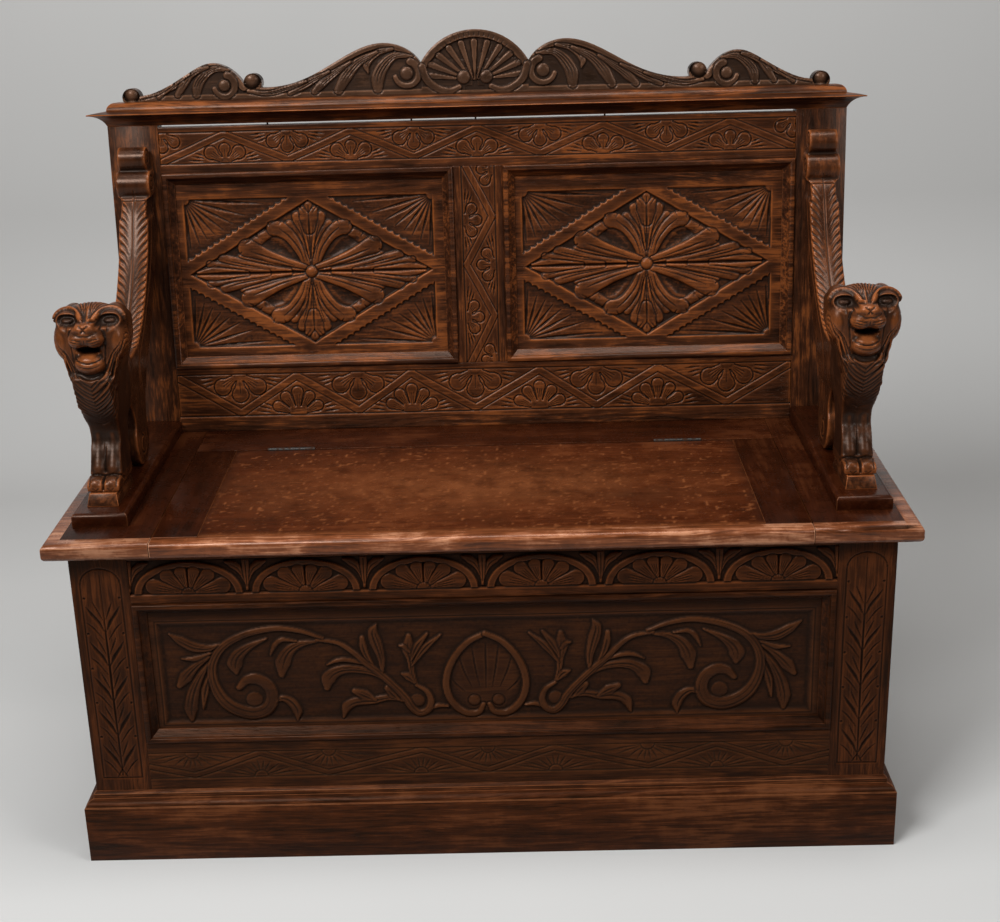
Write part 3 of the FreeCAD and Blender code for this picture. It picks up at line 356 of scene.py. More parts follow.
class Oak:
    """The bench's wood: two shared effects, and one material for each finish and grain."""
    INPUTS = {"Vector": "Vector", **dict.fromkeys(("Dark", "Mid", "Worn", "Groove"), "Color"),
              **dict.fromkeys(("Streak", "Pore", "Figure", "Recess", "Wear", "Tone", "Blotch", "Grained",
                               "Shine", "Roughness"), "Float")}

    @staticmethod
    @cache
    def grain_group() -> bpy.types.NodeTree:
        """Grain that runs along X: streaks, pores, slow figure and a height for the bump."""
        write, take = group_tree(
            "oak_grain", {"Vector": "Vector"}, dict.fromkeys(("Streak", "Pore", "Figure", "Height"), "Float"))
        bend = write.noise(write.stretched(take["Vector"], 2.2, 9.0), 1.0, 2.0)
        shift = write.add("ShaderNodeCombineXYZ", {"Y": write.math("MULTIPLY", bend, 0.05),
                                                   "Z": write.math("MULTIPLY", bend, 0.035)}).outputs[0]
        bent = write.add("ShaderNodeVectorMath", {0: take["Vector"], 1: shift}, operation="ADD").outputs[0]
        fine = write.noise(write.stretched(bent, 16.0, 620.0), 1.0, 4.0, 0.6)
        broad = write.noise(write.stretched(bent, 12.0, 230.0), 1.0)
        streak = write.weighed((fine, 0.45), (broad, 0.55))
        pore = write.ramp(write.noise(write.stretched(bent, 70.0, 1700.0), 1.0, 2.0), 0.60, 0.72)
        figure = write.noise(write.stretched(bent, 8.0, 56.0), 1.0, 4.0, 0.6, 0.6)
        write.add("NodeGroupOutput", {"Streak": write.ramp(streak, 0.38, 0.62), "Pore": pore,
                                      "Figure": write.ramp(figure, 0.34, 0.66),
                                      "Height": write.weighed((streak, 0.6), (pore, -0.5))})
        return write.tree

    @staticmethod
    @cache
    def patina_group() -> bpy.types.NodeTree:
        """Stain, wax, handling and painted shade: a colour and a roughness from grain, hollows and worn
        edges.
        """
        write, take = group_tree("oak_patina", Oak.INPUTS, {"Color": "Color", "Roughness": "Float"})
        patch = write.noise(take["Vector"], 30.0, 4.0, 0.65)
        spread = write.weighed((write.noise(take["Vector"], 5.5, 3.0, 0.6), 0.6), (patch, 0.4))
        cloud = write.math("MULTIPLY", write.math("SUBTRACT", spread, 0.5), take["Blotch"])
        cloud = write.math("MULTIPLY", cloud, 3.0)
        lines = write.weighed((take["Streak"], 0.55), (take["Figure"], 0.45))
        lines = write.math("MULTIPLY", write.math("SUBTRACT", lines, 0.5), take["Grained"])
        body = write.math("ADD", write.math("ADD", lines, cloud), 0.55, clamp=True)
        colour = write.mix(body, take["Dark"], take["Mid"])
        rubbed = write.math("MULTIPLY", take["Wear"], write.ramp(patch, 0.25, 0.6, 0.35, 1.0), clamp=True)
        streaked = write.weighed((spread, 1.0), (lines, 0.28))
        shine = write.math("MULTIPLY", write.ramp(streaked, 0.50, 0.70), take["Shine"])
        colour = write.mix(write.math("MAXIMUM", rubbed, shine), colour, take["Worn"])
        colour = write.mix(write.math("MULTIPLY", take["Pore"], 0.45), colour, take["Dark"])
        # Painted shade: hollows darken towards the groove colour; on the lid this mark also holds a stain.
        colour = write.mix(take["Recess"], colour, take["Groove"])
        toned = write.add("ShaderNodeVectorMath", {0: colour, 3: take["Tone"]}, operation="SCALE").outputs[0]
        rough = write.weighed((take["Roughness"], 1.0), (take["Recess"], 0.3), (patch, 0.3), (rubbed, -0.08))
        write.add(
            "NodeGroupOutput", {"Color": toned, "Roughness": write.math("SUBTRACT", rough, 0.15, clamp=True)})
        return write.tree

    @staticmethod
    @cache
    def material(finish: Finish, grain: Grain) -> bpy.types.Material:
        """The wood of one finish with its grain one way, made once."""
        made, write, shader = fresh_material(f"{finish.name}_{grain.name.lower()}")
        tone, recess, wear = (
            write.add("ShaderNodeAttribute", attribute_name=mark).outputs["Fac"]
            for mark in ("tone", "recess", "wear"))
        own = write.add("ShaderNodeVectorMath", {0: write.place(), 1: write.math("MULTIPLY", tone, 7.3)},
                        operation="ADD").outputs[0]
        turned = write.add("ShaderNodeMapping", {"Vector": own, "Rotation": grain.value}).outputs["Vector"]
        lines = write.add("ShaderNodeGroup", {"Vector": turned}, node_tree=Oak.grain_group()).outputs
        stains = {key: (*getattr(finish, key.lower()), 1.0) for key in ("Dark", "Mid", "Worn", "Groove")}
        patina = write.add("ShaderNodeGroup", {"Vector": own, **stains,
                                               **{key: lines[key] for key in ("Streak", "Pore", "Figure")},
                                               "Recess": recess, "Wear": wear, "Tone": tone,
                                               "Blotch": finish.blotch, "Grained": finish.figure,
                                               "Shine": finish.shine, "Roughness": finish.roughness},
                           node_tree=Oak.patina_group()).outputs
        bump = write.add("ShaderNodeBump", {"Height": lines["Height"], "Strength": 0.5, "Distance": 0.0008})
        write.feed(shader, {"Base Color": patina["Color"], "Roughness": patina["Roughness"],
                            "Normal": bump.outputs["Normal"], "Coat Weight": finish.coat,
                            "Coat Roughness": 0.28, "Specular IOR Level": finish.specular,
                            "Specular Tint": (1.0, 0.62, 0.45, 1.0)})
        return made


def softly(share: Array) -> Array:
    """A smooth step from 0 to 1."""
    share = np.clip(share, 0.0, 1.0)
    return share * share * (3.0 - 2.0 * share)


def flowing(points: Sequence[Point], steps: int = 6) -> Array:
    """A curve through given points, one row each."""
    knots = np.array(points, float)
    if len(knots) < 3:
        return knots
    knots = np.vstack([2 * knots[0] - knots[1], knots, 2 * knots[-1] - knots[-2]])
    share = np.linspace(0.0, 1.0, steps, endpoint=False)[:, None]
    runs = [0.5 * (2 * b + (c - a) * share + (2 * a - 5 * b + 4 * c - d) * share ** 2
                   + (3 * b - a - 3 * c + d) * share ** 3)
            for a, b, c, d in zip(knots, knots[1:], knots[2:], knots[3:])]
    return np.vstack([*runs, knots[-2]])


def evened(low: float, high: float, pitch: float) -> Array:
    """Places from low to high about one pitch apart."""
    return np.linspace(low, high, max(2, round((high - low) / pitch) + 1))


def wandering(shape: tuple[int, int], cell: int, seed: int) -> Array:
    """Slow unevenness from -1 to 1 over a grid."""
    draw = np.random.default_rng(seed)
    rows, columns = shape[0] // cell + 3, shape[1] // cell + 3
    knots = draw.uniform(-1.0, 1.0, (rows, columns))
    down, across = np.arange(shape[0]) / cell, np.arange(shape[1]) / cell
    row, column = down.astype(int), across.astype(int)
    part_down, part_across = softly(down - row)[:, None], softly(across - column)[None, :]
    near = knots[row][:, column] * (1 - part_across) + knots[row][:, column + 1] * part_across
    far = knots[row + 1][:, column] * (1 - part_across) + knots[row + 1][:, column + 1] * part_across
    return near * (1 - part_down) + far * part_down


def blurred(heights: Array, reach: int) -> Array:
    """Heights averaged over a few neighbours, twice over."""
    for _ in range(2):
        for axis in (0, 1):
            padded = np.concatenate([np.repeat(heights.take([0], axis), reach + 1, axis), heights,
                                     np.repeat(heights.take([-1], axis), reach, axis)], axis)
            total = np.cumsum(padded, axis)
            count = heights.shape[axis]
            window = 2 * reach + 1
            heights = (
                total.take(range(window, window + count), axis) - total.take(range(0, count), axis)) / window
    return heights


def beside_run(x: Array, y: Array, start: Sequence[float], end: Sequence[float]) -> tuple[Array, Array]:
    """How far along a straight run points lie, from 0 to 1, and how far off it they are."""
    run = np.subtract(end, start)
    share = np.clip(((x - start[0]) * run[0] + (y - start[1]) * run[1]) / max(run @ run, 1e-9), 0.0, 1.0)
    return share, np.hypot(x - start[0] - share * run[0], y - start[1] - share * run[1])


def polar(centre: Point, turn: float, reach: float) -> Point:
    """The point at a turn, in radians, and a reach from a centre."""
    return centre[0] + math.cos(turn) * reach, centre[1] + math.sin(turn) * reach


@dataclass(frozen=True)
class Stroke:
    """One pass of a gouge, or one lobe of a leaf: a line through points with half widths along it."""
    points: Sequence[Point]
    widths: Sequence[float]

    @classmethod
    def spot(cls, centre: Point, radius: float) -> "Stroke":
        """A round spot."""
        return cls((centre, (centre[0] + 0.01, centre[1])), (radius, radius))

    def traced(self) -> tuple[Array, Array]:
        """The middle line, and the half width at each of its points."""
        line = flowing(self.points)
        return line, np.interp(np.linspace(0, 1, len(line)), np.linspace(0, 1, len(self.widths)), self.widths)

    def beside(self, share: float, width: float) -> "Stroke":
        """A thin stroke that runs along this one, off its middle by a share of the half width."""
        line, wide = self.traced()
        way = np.gradient(line, axis=0)
        way /= np.maximum(np.hypot(way[:, 0], way[:, 1]), 1e-9)[:, None]
        line = line + np.column_stack([-way[:, 1], way[:, 0]]) * (wide * share)[:, None]
        keep = line[int(0.12 * len(line)):int(0.86 * len(line)) + 1:3]
        return Stroke(keep, (0.4 * width, width, width, 0.3 * width))

    def flipped(self) -> "Stroke":
        """Its mirror image about the middle."""
        return Stroke([(-across, up) for across, up in self.points], self.widths)


def mirrored(strokes: Sequence[Stroke]) -> list[Stroke]:
    """Strokes, each with its mirror image after it."""
    return [each for stroke in strokes for each in (stroke, stroke.flipped())]


class Relief:
    """Heights over a board's face, in millimetres."""

    def __init__(self, across: Array, up: Array) -> None:
        """Starts as a flat face over a grid of places across and up the board."""
        self.across, self.up = across, up
        self.height = np.zeros((len(up), len(across)))
        self.x, self.y = np.meshgrid(across, up)

    def read(self, across: Array, up: Array) -> Array:
        """Heights at any places, read between the rows and columns."""
        column = np.interp(across, self.across, np.arange(len(self.across)))
        row = np.interp(up, self.up, np.arange(len(self.up)))
        left = np.minimum(column.astype(int), len(self.across) - 2)
        low = np.minimum(row.astype(int), len(self.up) - 2)
        part_x, part_y = column - left, row - low
        near, far = (self.height[line, left] * (1 - part_x) + self.height[line, left + 1] * part_x
                     for line in (low, low + 1))
        return near * (1 - part_y) + far * part_y

    def near(self, stroke: Stroke, margin: float = 3.0) -> tuple:
        """How far the grid is from a stroke.

        Args:
            stroke: the line and its half widths.
            margin: how far beyond the stroke to look.
        Returns:
            The patch of the grid, its distance outside the stroke's edge and the half width there.
        """
        line, wide = stroke.traced()
        reach = max(stroke.widths) + margin
        patch = tuple(slice(*np.searchsorted(grid, (run.min() - reach, run.max() + reach)))
                      for grid, run in ((self.up, line[:, 1]), (self.across, line[:, 0])))
        outside, half = np.full(self.x[patch].shape, 1e6), np.ones(self.x[patch].shape)
        for start, end, first, last in zip(line, line[1:], wide, wide[1:]):
            share, gap = beside_run(self.x[patch], self.y[patch], start, end)
            width = first + share * (last - first)
            closer = gap - width < outside
            outside, half = np.where(closer, gap - width, outside), np.where(closer, width, half)
        return patch, outside, np.maximum(half, 0.05)

    def lobe(self, stroke: Stroke, crown: float, wall: float, floor: float, moat: float = 0.0,
             soft: float = 0.9) -> None:
        """Raises a rounded lobe out of the ground.

        Args:
            stroke: its middle line and half widths.
            crown: height of its middle.
            wall: height of its edge.
            floor: height of the ground round it.
            moat: depth of the line cut round it into what is there already.
            soft: width of the slope at its edge.
        """
        patch, outside, half = self.near(stroke)
        if moat:
            self.height[patch] -= moat * np.exp(-((outside - 0.2) / 0.9) ** 2)
        share = np.clip(1.0 + outside / half, 0.0, 1.0)
        surface = wall + (crown - wall) * (1.0 - share ** 3)
        inside = softly(0.5 - outside / soft)
        self.height[patch] = np.maximum(self.height[patch], floor + (surface - floor) * inside)

    def groove(self, stroke: Stroke, depth: float, hollow: bool = False) -> None:
        """Cuts a groove that shallows with its width; hollow for a round gouge, else a V."""
        patch, outside, half = self.near(stroke, 0.5)
        share = np.clip(1.0 + outside / half, 0.0, 1.0)
        deep = depth * np.minimum(1.0, half / max(stroke.widths))
        self.height[patch] -= deep * ((1.0 - share ** 2) if hollow else (1.0 - share))

    def cut(self, points: Sequence[Point], widths: Sequence[float], depth: float,
            hollow: bool = False) -> None:
        """Cuts a groove through points, with half widths along it."""
        self.groove(Stroke(points, widths), depth, hollow)

    def line(self, start: Point, end: Point, width: float, depth: float) -> None:
        """Cuts one straight V groove of even width."""
        self.cut((start, end), (width, width), depth)

    def mound(self, centre: Point, radius: float, top: float, floor: float, moat: float = 0.0) -> None:
        """Raises a round boss."""
        self.lobe(Stroke.spot(centre, radius), top, floor + (top - floor) * 0.45, floor, moat)

    def fan(self, hub: Point, aim: float, reaches: Sequence[float], spread: float, radius: float,
            floor: float, crown: float = -0.1, moat: float = 0.9, cut: float = 0.0) -> None:
        """Raises petals round a hub.

        Args:
            hub: the point that the petals grow from.
            aim: the way that their middle points, in degrees.
            reaches: each petal's length.
            spread: the angle between the outer petals, in degrees.
            radius: the hub's radius.
            floor: height of the ground.
            crown: height of the petals' middles.
            moat: depth of the line round each petal.
            cut: depth of a sharp line on each petal's edge.
        """
        gap = spread / (len(reaches) - 1)
        fullness = 0.92 * math.sin(math.radians(gap / 2))
        petals = []
        for index, reach in enumerate(reaches):
            turn = math.radians(aim - spread / 2 + gap * index)
            wide = reach * fullness / (1 + fullness)
            path = [polar(hub, turn, out) for out in (0.6 * radius, 0.6 * reach, reach - wide)]
            petals.append(Stroke(path, (0.25 * wide, 0.74 * wide, wide)))
            self.lobe(petals[-1], crown, crown - 0.8, floor, moat)
        for index, petal in enumerate(petals):
            if cut:
                self.outline(petal, 1.3, cut)
            plain = len(reaches) % 2 and index == len(reaches) // 2 and gap > 40
            for share in (-0.42, 0.0, 0.42) if gap > 28 and not plain else (0.0,):
                self.groove(petal.beside(share, 0.9), 0.7 if plain else 1.3)
        self.mound(hub, radius, crown + 0.1, floor, moat)

    def rays(self, hub: Point, turns: Sequence[float], starts: float, reaches: Sequence[float], width: float,
             depth: float) -> None:
        """Cuts V lines out from a hub at given turns, in degrees."""
        for turn, reach in zip(turns, reaches):
            path = [polar(hub, math.radians(turn), out) for out in (starts, (starts + reach) / 2, reach)]
            self.cut(path, (0.5 * width, width, 0.4 * width), depth)

    def outline(self, stroke: Stroke, width: float, depth: float) -> None:
        """Cuts a V line round a stroke."""
        patch, outside, _ = self.near(stroke)
        self.height[patch] -= depth * np.clip(1.0 - np.abs(outside) / width, 0.0, 1.0)

    def apart(self, corners: Sequence[Point]) -> Array:
        """Distance of every point from a line of straight runs."""
        return reduce(np.minimum, (beside_run(self.x, self.y, start, end)[1]
                                   for start, end in zip(corners, corners[1:])))

    def keep_strap(self, distance: Array, half: float, moat: float) -> None:
        """Leaves a flat strap at face height, with a dark line along both edges."""
        self.height -= moat * np.exp(-((distance - half - 0.4) / 0.9) ** 2)
        self.height *= 1.0 - softly(half + 0.5 - distance)

    def within(self, area: Four) -> Array:
        """How far every point is inside a field: its left, right, low and high edges."""
        left, right, low, high = area
        return np.minimum(np.minimum(self.x - left, right - self.x), np.minimum(self.y - low, high - self.y))

    def keep_outside(self, area: Four) -> None:
        """Leaves everything outside a field at face height, with a line cut round the field."""
        inside = self.within(area)
        self.height *= softly(inside / 0.9 + 0.5)
        self.height -= 1.7 * np.clip(1.0 - np.abs(inside) / 1.2, 0.0, 1.0)

    def roughen(self, amount: float, seed: int, below: float = -0.6) -> None:
        """Leaves tool marks where the ground was cut away."""
        marks = 0.6 * wandering(self.height.shape, 4, seed) + 0.4 * wandering(self.height.shape, 2, seed + 1)
        self.height += amount * marks * softly((below - self.height) / 0.6 + 1.0)

    def marks(self) -> tuple[Array, Array]:
        """How much painted shade each point gets for lying hollow, and how exposed it is, both from 0 to 1.
        """
        close, wide = blurred(self.height, 1), blurred(self.height, 5)
        recess = (1.45 * np.clip(close - self.height, 0, None) / 0.40
                  + 0.70 * np.clip(wide - self.height, 0, None) / 1.6
                  + 0.12 * np.clip(-self.height, 0, None) / 4.0)
        wear = (0.38 * np.clip(self.height - close, 0, None) / 0.35
                + 0.36 * np.clip(self.height - wide, 0, None) / 1.4)
        return np.clip(recess, 0, 0.96), np.clip(wear, 0, 1)


@dataclass(frozen=True)
class Plane:
    """A flat face of the bench: a point on it, and the ways up it and into the wood."""
    origin: Triple
    rise: Triple = (0.0, 0.0, 1.0)
    into: Triple = (0.0, 1.0, 0.0)

    def place(self, across: Array, up: Array, depth: Array) -> Array:
        """Points of the face in the bench's frame."""
        return np.array(self.origin) + (
            np.outer(across, (1.0, 0.0, 0.0)) + np.outer(up, self.rise) + np.outer(depth, self.into))

    def read(self, points: Array) -> tuple[Array, Array, Array]:
        """How far across, up and into the face points of the bench's frame are."""
        offset = points - np.array(self.origin)
        return offset[:, 0], offset @ np.array(self.rise), offset @ np.array(self.into)


def corners_mm(node: str) -> tuple[Vector, Vector]:
    """A node's lowest and highest corners in millimetres."""
    low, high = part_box(node)
    return low * METRE, high * METRE


SEAT_TOP = corners_mm("lid_cleat_left")[1].z
BACK_FACE = corners_mm("back_bottom_rail")[0].y
FRONT_PLANE = Plane((0.0, corners_mm("front_top_rail")[0].y, 0.0))
BACK_PLANE = Plane(
    (0.0, BACK_FACE, SEAT_TOP), (0.0, math.sin(RAKE), math.cos(RAKE)), (0.0, math.cos(RAKE), -math.sin(RAKE)))


def sheet_of(relief: Relief, rubbed: Array | float = 0.0) -> Object:
    """A flat sheet with a vertex for each point of a relief, marked with painted shade in hollows and with
    wear.
    """
    clear_selection()
    bpy.ops.mesh.primitive_grid_add(
        x_subdivisions=len(relief.across) - 1, y_subdivisions=len(relief.up) - 1, size=2.0)
    sheet = bpy.context.object
    recess, wear = relief.marks()
    paint(sheet, "recess", recess.ravel())
    paint(sheet, "wear", np.maximum(wear, rubbed).ravel())
    return sheet


def close_behind(sheet: Object, plane: Plane, deep: float) -> None:
    """Extrudes the rim of a carved sheet back to a depth of its plane and closes it there."""
    with editing(sheet):
        bpy.ops.mesh.region_to_loop()
        bpy.ops.mesh.extrude_region_move()
    points = points_of(sheet)
    rim = read_all(sheet.data.vertices, "select", 1, bool)[:, 0]
    across, up, _ = plane.read(points[rim])
    points[rim] = plane.place(across, up, np.full(len(up), deep))
    move_points(sheet, points)
    bpy.ops.object.mode_set(mode="EDIT")
    bpy.ops.mesh.edge_face_add()
    bpy.ops.mesh.select_all(action="SELECT")
    bpy.ops.mesh.normals_make_consistent(inside=False)
    bpy.ops.object.mode_set(mode="OBJECT")


@dataclass
class CarvedBoard:
    """A board whose front is carved: a fine grid over its face, on the rest of the board."""
    node: str
    plane: Plane
    finish: Finish
    grain: Grain
    pitch: float = 1.1
    slab: float = 6.5
    seed: int = 1
    tone: float = 1.0
    wobble: float = 0.45
    hidden: Four = (0.0, 0.0, 0.0, 0.0)

    def carve(self, relief: Relief) -> None:
        """Cuts the board's own pattern."""
        raise NotImplementedError

    def places(self, edge: Array, before: float, after: float) -> Array:
        """Grid places between a face's two edges, with wide cells where a neighbour hides the board."""
        low, high = edge.min(), edge.max()
        fine = evened(low + before, high - after, self.pitch)
        return np.concatenate([[low] if before else [], fine, [high] if after else []])

    def lay_face(self, relief: Relief, depth: float) -> Object:
        """The carved face as a closed slab, from a relief and the depth of the face in the board's plane."""
        slab = sheet_of(relief)
        rim = relief.within((relief.across[0], relief.across[-1], relief.up[0], relief.up[-1]))
        ease = softly(rim / 12.0) * self.wobble
        shape = relief.height.shape
        across = relief.x + ease * wandering(shape, 38, self.seed)
        up = relief.y + ease * wandering(shape, 34, self.seed + 5)
        height = relief.height - 0.5 * (rim < 0.2)
        move_points(slab, self.plane.place(across.ravel(), up.ravel(), depth - height.ravel()))
        close_behind(slab, self.plane, depth + self.slab)
        return slab

    def build(self) -> Object:
        """The finished board in place of its node."""
        carcass = copy_of(self.node, self.node + "_carcass")
        points = points_of(carcass)
        across, up, depths = self.plane.read(points)
        depth = depths.min()
        front = depths < depth + ON_FACE
        before_x, after_x, before_y, after_y = self.hidden
        relief = Relief(
            self.places(across[front], before_x, after_x), self.places(up[front], before_y, after_y))
        self.carve(relief)
        relief.height = np.maximum(relief.height, LEAST_WOOD - self.slab)
        face = self.lay_face(relief, depth)
        points[front] += np.array(self.plane.into) * self.slab
        move_points(carcass, points)
        for mark in ("recess", "wear"):
            paint(carcass, mark, np.zeros(len(points)))
        whole = joined([face, carcass], self.node + "_carved")
        return dressed(whole, self.finish, self.grain, [self.node], self.tone)


@dataclass
class BackPanel(CarvedBoard):
    """A back panel: a lozenge strap round a boss with leaves, and ray-cut corners."""
    ground: float = 4.0
    sunk: float = 2.4
    half: Point = (174.2, 105.3)
    lozenge: Point = (173.0, 103.0)
    strap: float = 0.195
    off_centre: float = -2.4
    boss_up: float = 227.3

    LEAVES = (
        (Stroke(((0.5, 8), (1.5, 40), (1, 75), (0, 94)), (3.4, 6.2, 9.0, 5.0)), -0.6),
        (Stroke(((3, 20), (9, 48), (14, 66), (17, 79)), (2.0, 5.0, 6.4, 5.6)), -0.9),
        (Stroke(((1, 60), (5, 76), (9, 88)), (6.0, 7.0, 4.0)), -0.8),
        (Stroke(((4, 10), (10, 34), (18, 52), (28, 67)), (1.8, 3.6, 5.0, 5.0)), -1.3),
        (Stroke(((9, 3), (40, 8), (70, 14), (97, 21)), (1.8, 4.2, 6.4, 6.4)), -1.2),
        (Stroke(((30, 2.5), (70, 7), (104, 14), (124, 20)), (2.0, 5.0, 7.4, 6.6)), -0.8),
        (Stroke(((60, 2.2), (104, 5.5), (130, 10), (143, 13)), (2.0, 4.6, 6.0, 5.0)), -1.0),
        (Stroke(((90, 1.5), (140, 4.5), (162, 2.5)), (1.8, 4.6, 1.5)), -1.2),
        (Stroke(((46, 61), (59, 55), (70, 48), (80, 41)), (7.0, 5.4, 6.4, 6.0)), -1.5),
        (Stroke(((5, 5), (8, 16), (17, 36), (29, 52), (42, 61), (50, 62)), (2.8, 5.2, 6.6, 7.4, 9.2, 9.0)),
         -0.2),
        (Stroke(((8, 7), (45, 18), (68, 27), (84, 34), (90, 36)), (3.2, 5.6, 7.6, 10.0, 10.6)), -0.1),
    )
    VEINS = (
        (Stroke(((9, 0), (50, 0), (120, 0), (168, 0)), (1.4, 3.2, 3.8, 0.8)), 3.4),
        (Stroke(((0, 10), (0, 40), (0, 94)), (1.0, 2.6, 1.0)), 2.6),
        (Stroke(((9, 12), (15, 32), (28, 50), (42, 62)), (0.5, 1.4, 1.6, 0.6)), 2.0),
        (Stroke(((18, 8), (46, 17), (68, 25), (84, 31)), (0.5, 1.4, 1.7, 0.6)), 2.2),
        (Stroke(((22, 5), (60, 12), (94, 20)), (0.5, 1.5, 0.6)), 2.4),
        (Stroke(((50, 5), (92, 12), (120, 19)), (0.5, 1.5, 0.6)), 2.4),
        (Stroke(((84, 4), (116, 8), (140, 12.5)), (0.5, 1.4, 0.6)), 2.2),
        (Stroke(((3, 20), (8, 46), (15, 72)), (0.5, 1.4, 0.6)), 2.4),
        (Stroke(((5, 16), (12, 40), (24, 62)), (0.5, 1.2, 0.6)), 2.2),
        (Stroke(((86, 46), (92, 42)), (1.6, 0.5)), 2.0), (Stroke(((98, 30), (103, 27)), (1.5, 0.5)), 2.0),
        (Stroke(((40, 72), (43, 67)), (1.6, 0.5)), 2.0), (Stroke(((58, 70), (56, 65)), (1.5, 0.5)), 2.0),
        (Stroke(((63, 62), (61, 57)), (1.8, 0.6)), 2.0), (Stroke(((76, 53), (73, 49)), (1.8, 0.6)), 2.0),
        (Stroke(((12, 92), (6, 84)), (1.8, 0.6)), 2.0),
    )

    def quarter(self) -> Relief:
        """The upper right quarter, across and up from the boss."""
        relief = Relief(np.arange(0.0, 206.0, 1.0), np.arange(0.0, 142.0, 1.0))
        across, up = relief.x, relief.y
        wide, tall = self.lozenge
        reach = across / wide + up / tall
        scale = 1.0 / math.hypot(1 / wide, 1 / tall)
        along = (across * wide - up * tall) / math.hypot(wide, tall)
        bites = 3.0 * np.abs(np.sin(math.pi * along / 10.5)) ** 0.7
        edge = np.minimum(self.half[0] - across, self.half[1] - up)
        relief.height -= self.ground * softly((1.0 - reach) * scale / 2.2)
        corner = softly((reach - 1.0 - self.strap) * scale + bites - 1.2) * softly(edge / 1.2 + 0.5)
        relief.height -= self.sunk * corner
        floor = -self.ground
        for leaf, crown in self.LEAVES:
            broad = Stroke(leaf.points, [1.16 * width for width in leaf.widths])
            relief.lobe(broad, crown, crown - 1.5, floor, moat=1.6)
        relief.cut(((29, 24), (48, 37), (66, 45)), (3.0, 9.5, 5.0), 2.4, hollow=True)
        for vein, depth in self.VEINS:
            relief.groove(vein, depth)
        corner = self.half
        relief.lobe(Stroke.spot(corner, 7.5), -0.2, -0.9, -self.sunk)
        beyond = corner[0] / wide + corner[1] / tall - 1.0 - self.strap
        for turn in np.radians(184 + 82 * np.arange(8) / 7):
            end = min(0.86 * beyond / -(math.cos(turn) / wide + math.sin(turn) / tall), 118.0)
            relief.cut([polar(corner, turn, out) for out in (9, (9 + end) / 2, end)], (0.9, 2.3, 0.7), 3.2)
        relief.mound((0.0, 0.0), 8.5, 2.0, floor, moat=1.4)
        return relief

    def carve(self, relief: Relief) -> None:
        """Mirrors one quarter about the boss."""
        middle = (relief.across[0] + relief.across[-1]) / 2 + self.off_centre
        relief.height = self.quarter().read(np.abs(relief.x - middle), np.abs(relief.y - self.boss_up))
        relief.roughen(0.22, self.seed * 11)


@dataclass
class StrapBoard(CarvedBoard):
    """A board with a zigzag strap in a sunk field, and half flowers in the spaces."""
    area: Four = (-440.0, 440.0, 0.0, 60.0)
    corners: Sequence[Point] = ()
    half: float = 4.25
    ground: float = 0.35
    flowers: Sequence[tuple[Point, float, Sequence[float], float, float]] = ()
    gouges: Sequence[tuple[Point, Sequence[float], float, Sequence[float]]] = ()

    def carve(self, relief: Relief) -> None:
        """Cuts the field, its flowers and the strap over them."""
        relief.height -= self.ground
        for hub, aim, reaches, spread, radius in self.flowers:
            relief.fan(hub, aim, reaches, spread, radius, -self.ground, moat=1.0, cut=2.2)
        for hub, turns, start, reaches in self.gouges:
            relief.rays(hub, turns, start, reaches, 1.8, 2.4)
        relief.keep_strap(relief.apart(self.corners), self.half, 1.7)
        relief.keep_outside(self.area)
        relief.roughen(0.2, self.seed * 7, below=-1.2)


def band_flowers(hubs: Sequence[Point], aim: float, middle: float, outer: float, radius: float) -> list:
    """Flowers of three broad petals on one side of a band."""
    return [(hub, aim, (outer, middle, outer), 106.0, radius) for hub in hubs]


def band_gouges(hubs: Sequence[Point], aim: float, start: float) -> list:
    """Short cuts at both far sides of flowers."""
    return [(hub, [aim + side * turn for turn in (70.0, 77.0, 84.0)], start,
             (start + 13, start + 17, start + 20)) for hub in hubs for side in (-1, 1)]


def back_top_rail() -> StrapBoard:
    """The rail over the back panels: flowers stand under the peaks and hang over the valleys."""
    low, high = 383.3, 426.4
    feet = [(x, low) for x in (-350.0, -175.0, 0.0, 175.0, 350.0)]
    tops = [(x, high) for x in (-262.8, -87.6, 87.6, 262.8)]
    bends = sorted([(x, high - 3) for x, _ in feet] + [(x, low + 3) for x, _ in tops])
    return StrapBoard("back_top_rail", BACK_PLANE, BACK, Grain.ACROSS, pitch=1.0, slab=5.0, seed=4,
                      area=(-441.0, 441.0, low, high), corners=((-438.0, low + 3), *bends, (438.0, low + 3)),
                      flowers=(*band_flowers(feet, 90.0, 28.0, 34.0, 5.0),
                               *band_flowers(tops, 270.0, 31.0, 34.0, 5.0),
                               ((-438.0, high), 300.0, (28.0, 30.0), 50.0, 5.0),
                               ((438.0, high), 240.0, (30.0, 28.0), 50.0, 5.0)),
                      gouges=(*band_gouges(feet, 90.0, 31.0), *band_gouges(tops, 270.0, 31.0)))


def back_bottom_rail() -> StrapBoard:
    """The rail under the back panels: taller fans between the strap's runs."""
    low, high = 22.3, 83.5
    feet = [(x, low) for x in (-269.0, -104.0, 80.0, 250.0)]
    tops = [(x, high) for x in (-351.0, -181.0, -12.0, 162.0, 349.0)]
    bends = sorted([(x, high - 4) for x, _ in feet] + [(x, low + 4) for x, _ in tops])
    return StrapBoard("back_bottom_rail", BACK_PLANE, BACK, Grain.ACROSS, slab=5.0, seed=5, tone=0.95,
                      area=(-441.0, 441.0, low, high), half=5.0,
                      corners=((-439.0, high - 4), *bends, (439.0, high - 4)),
                      flowers=(*[(foot, 90.0, (40.0, 40.0, 42.0, 40.0, 40.0), 132.0, 9.0) for foot in feet],
                               *band_flowers(tops, 270.0, 42.0, 44.0, 7.0)),
                      gouges=(*band_gouges(feet, 90.0, 40.0), *band_gouges(tops, 270.0, 40.0)))


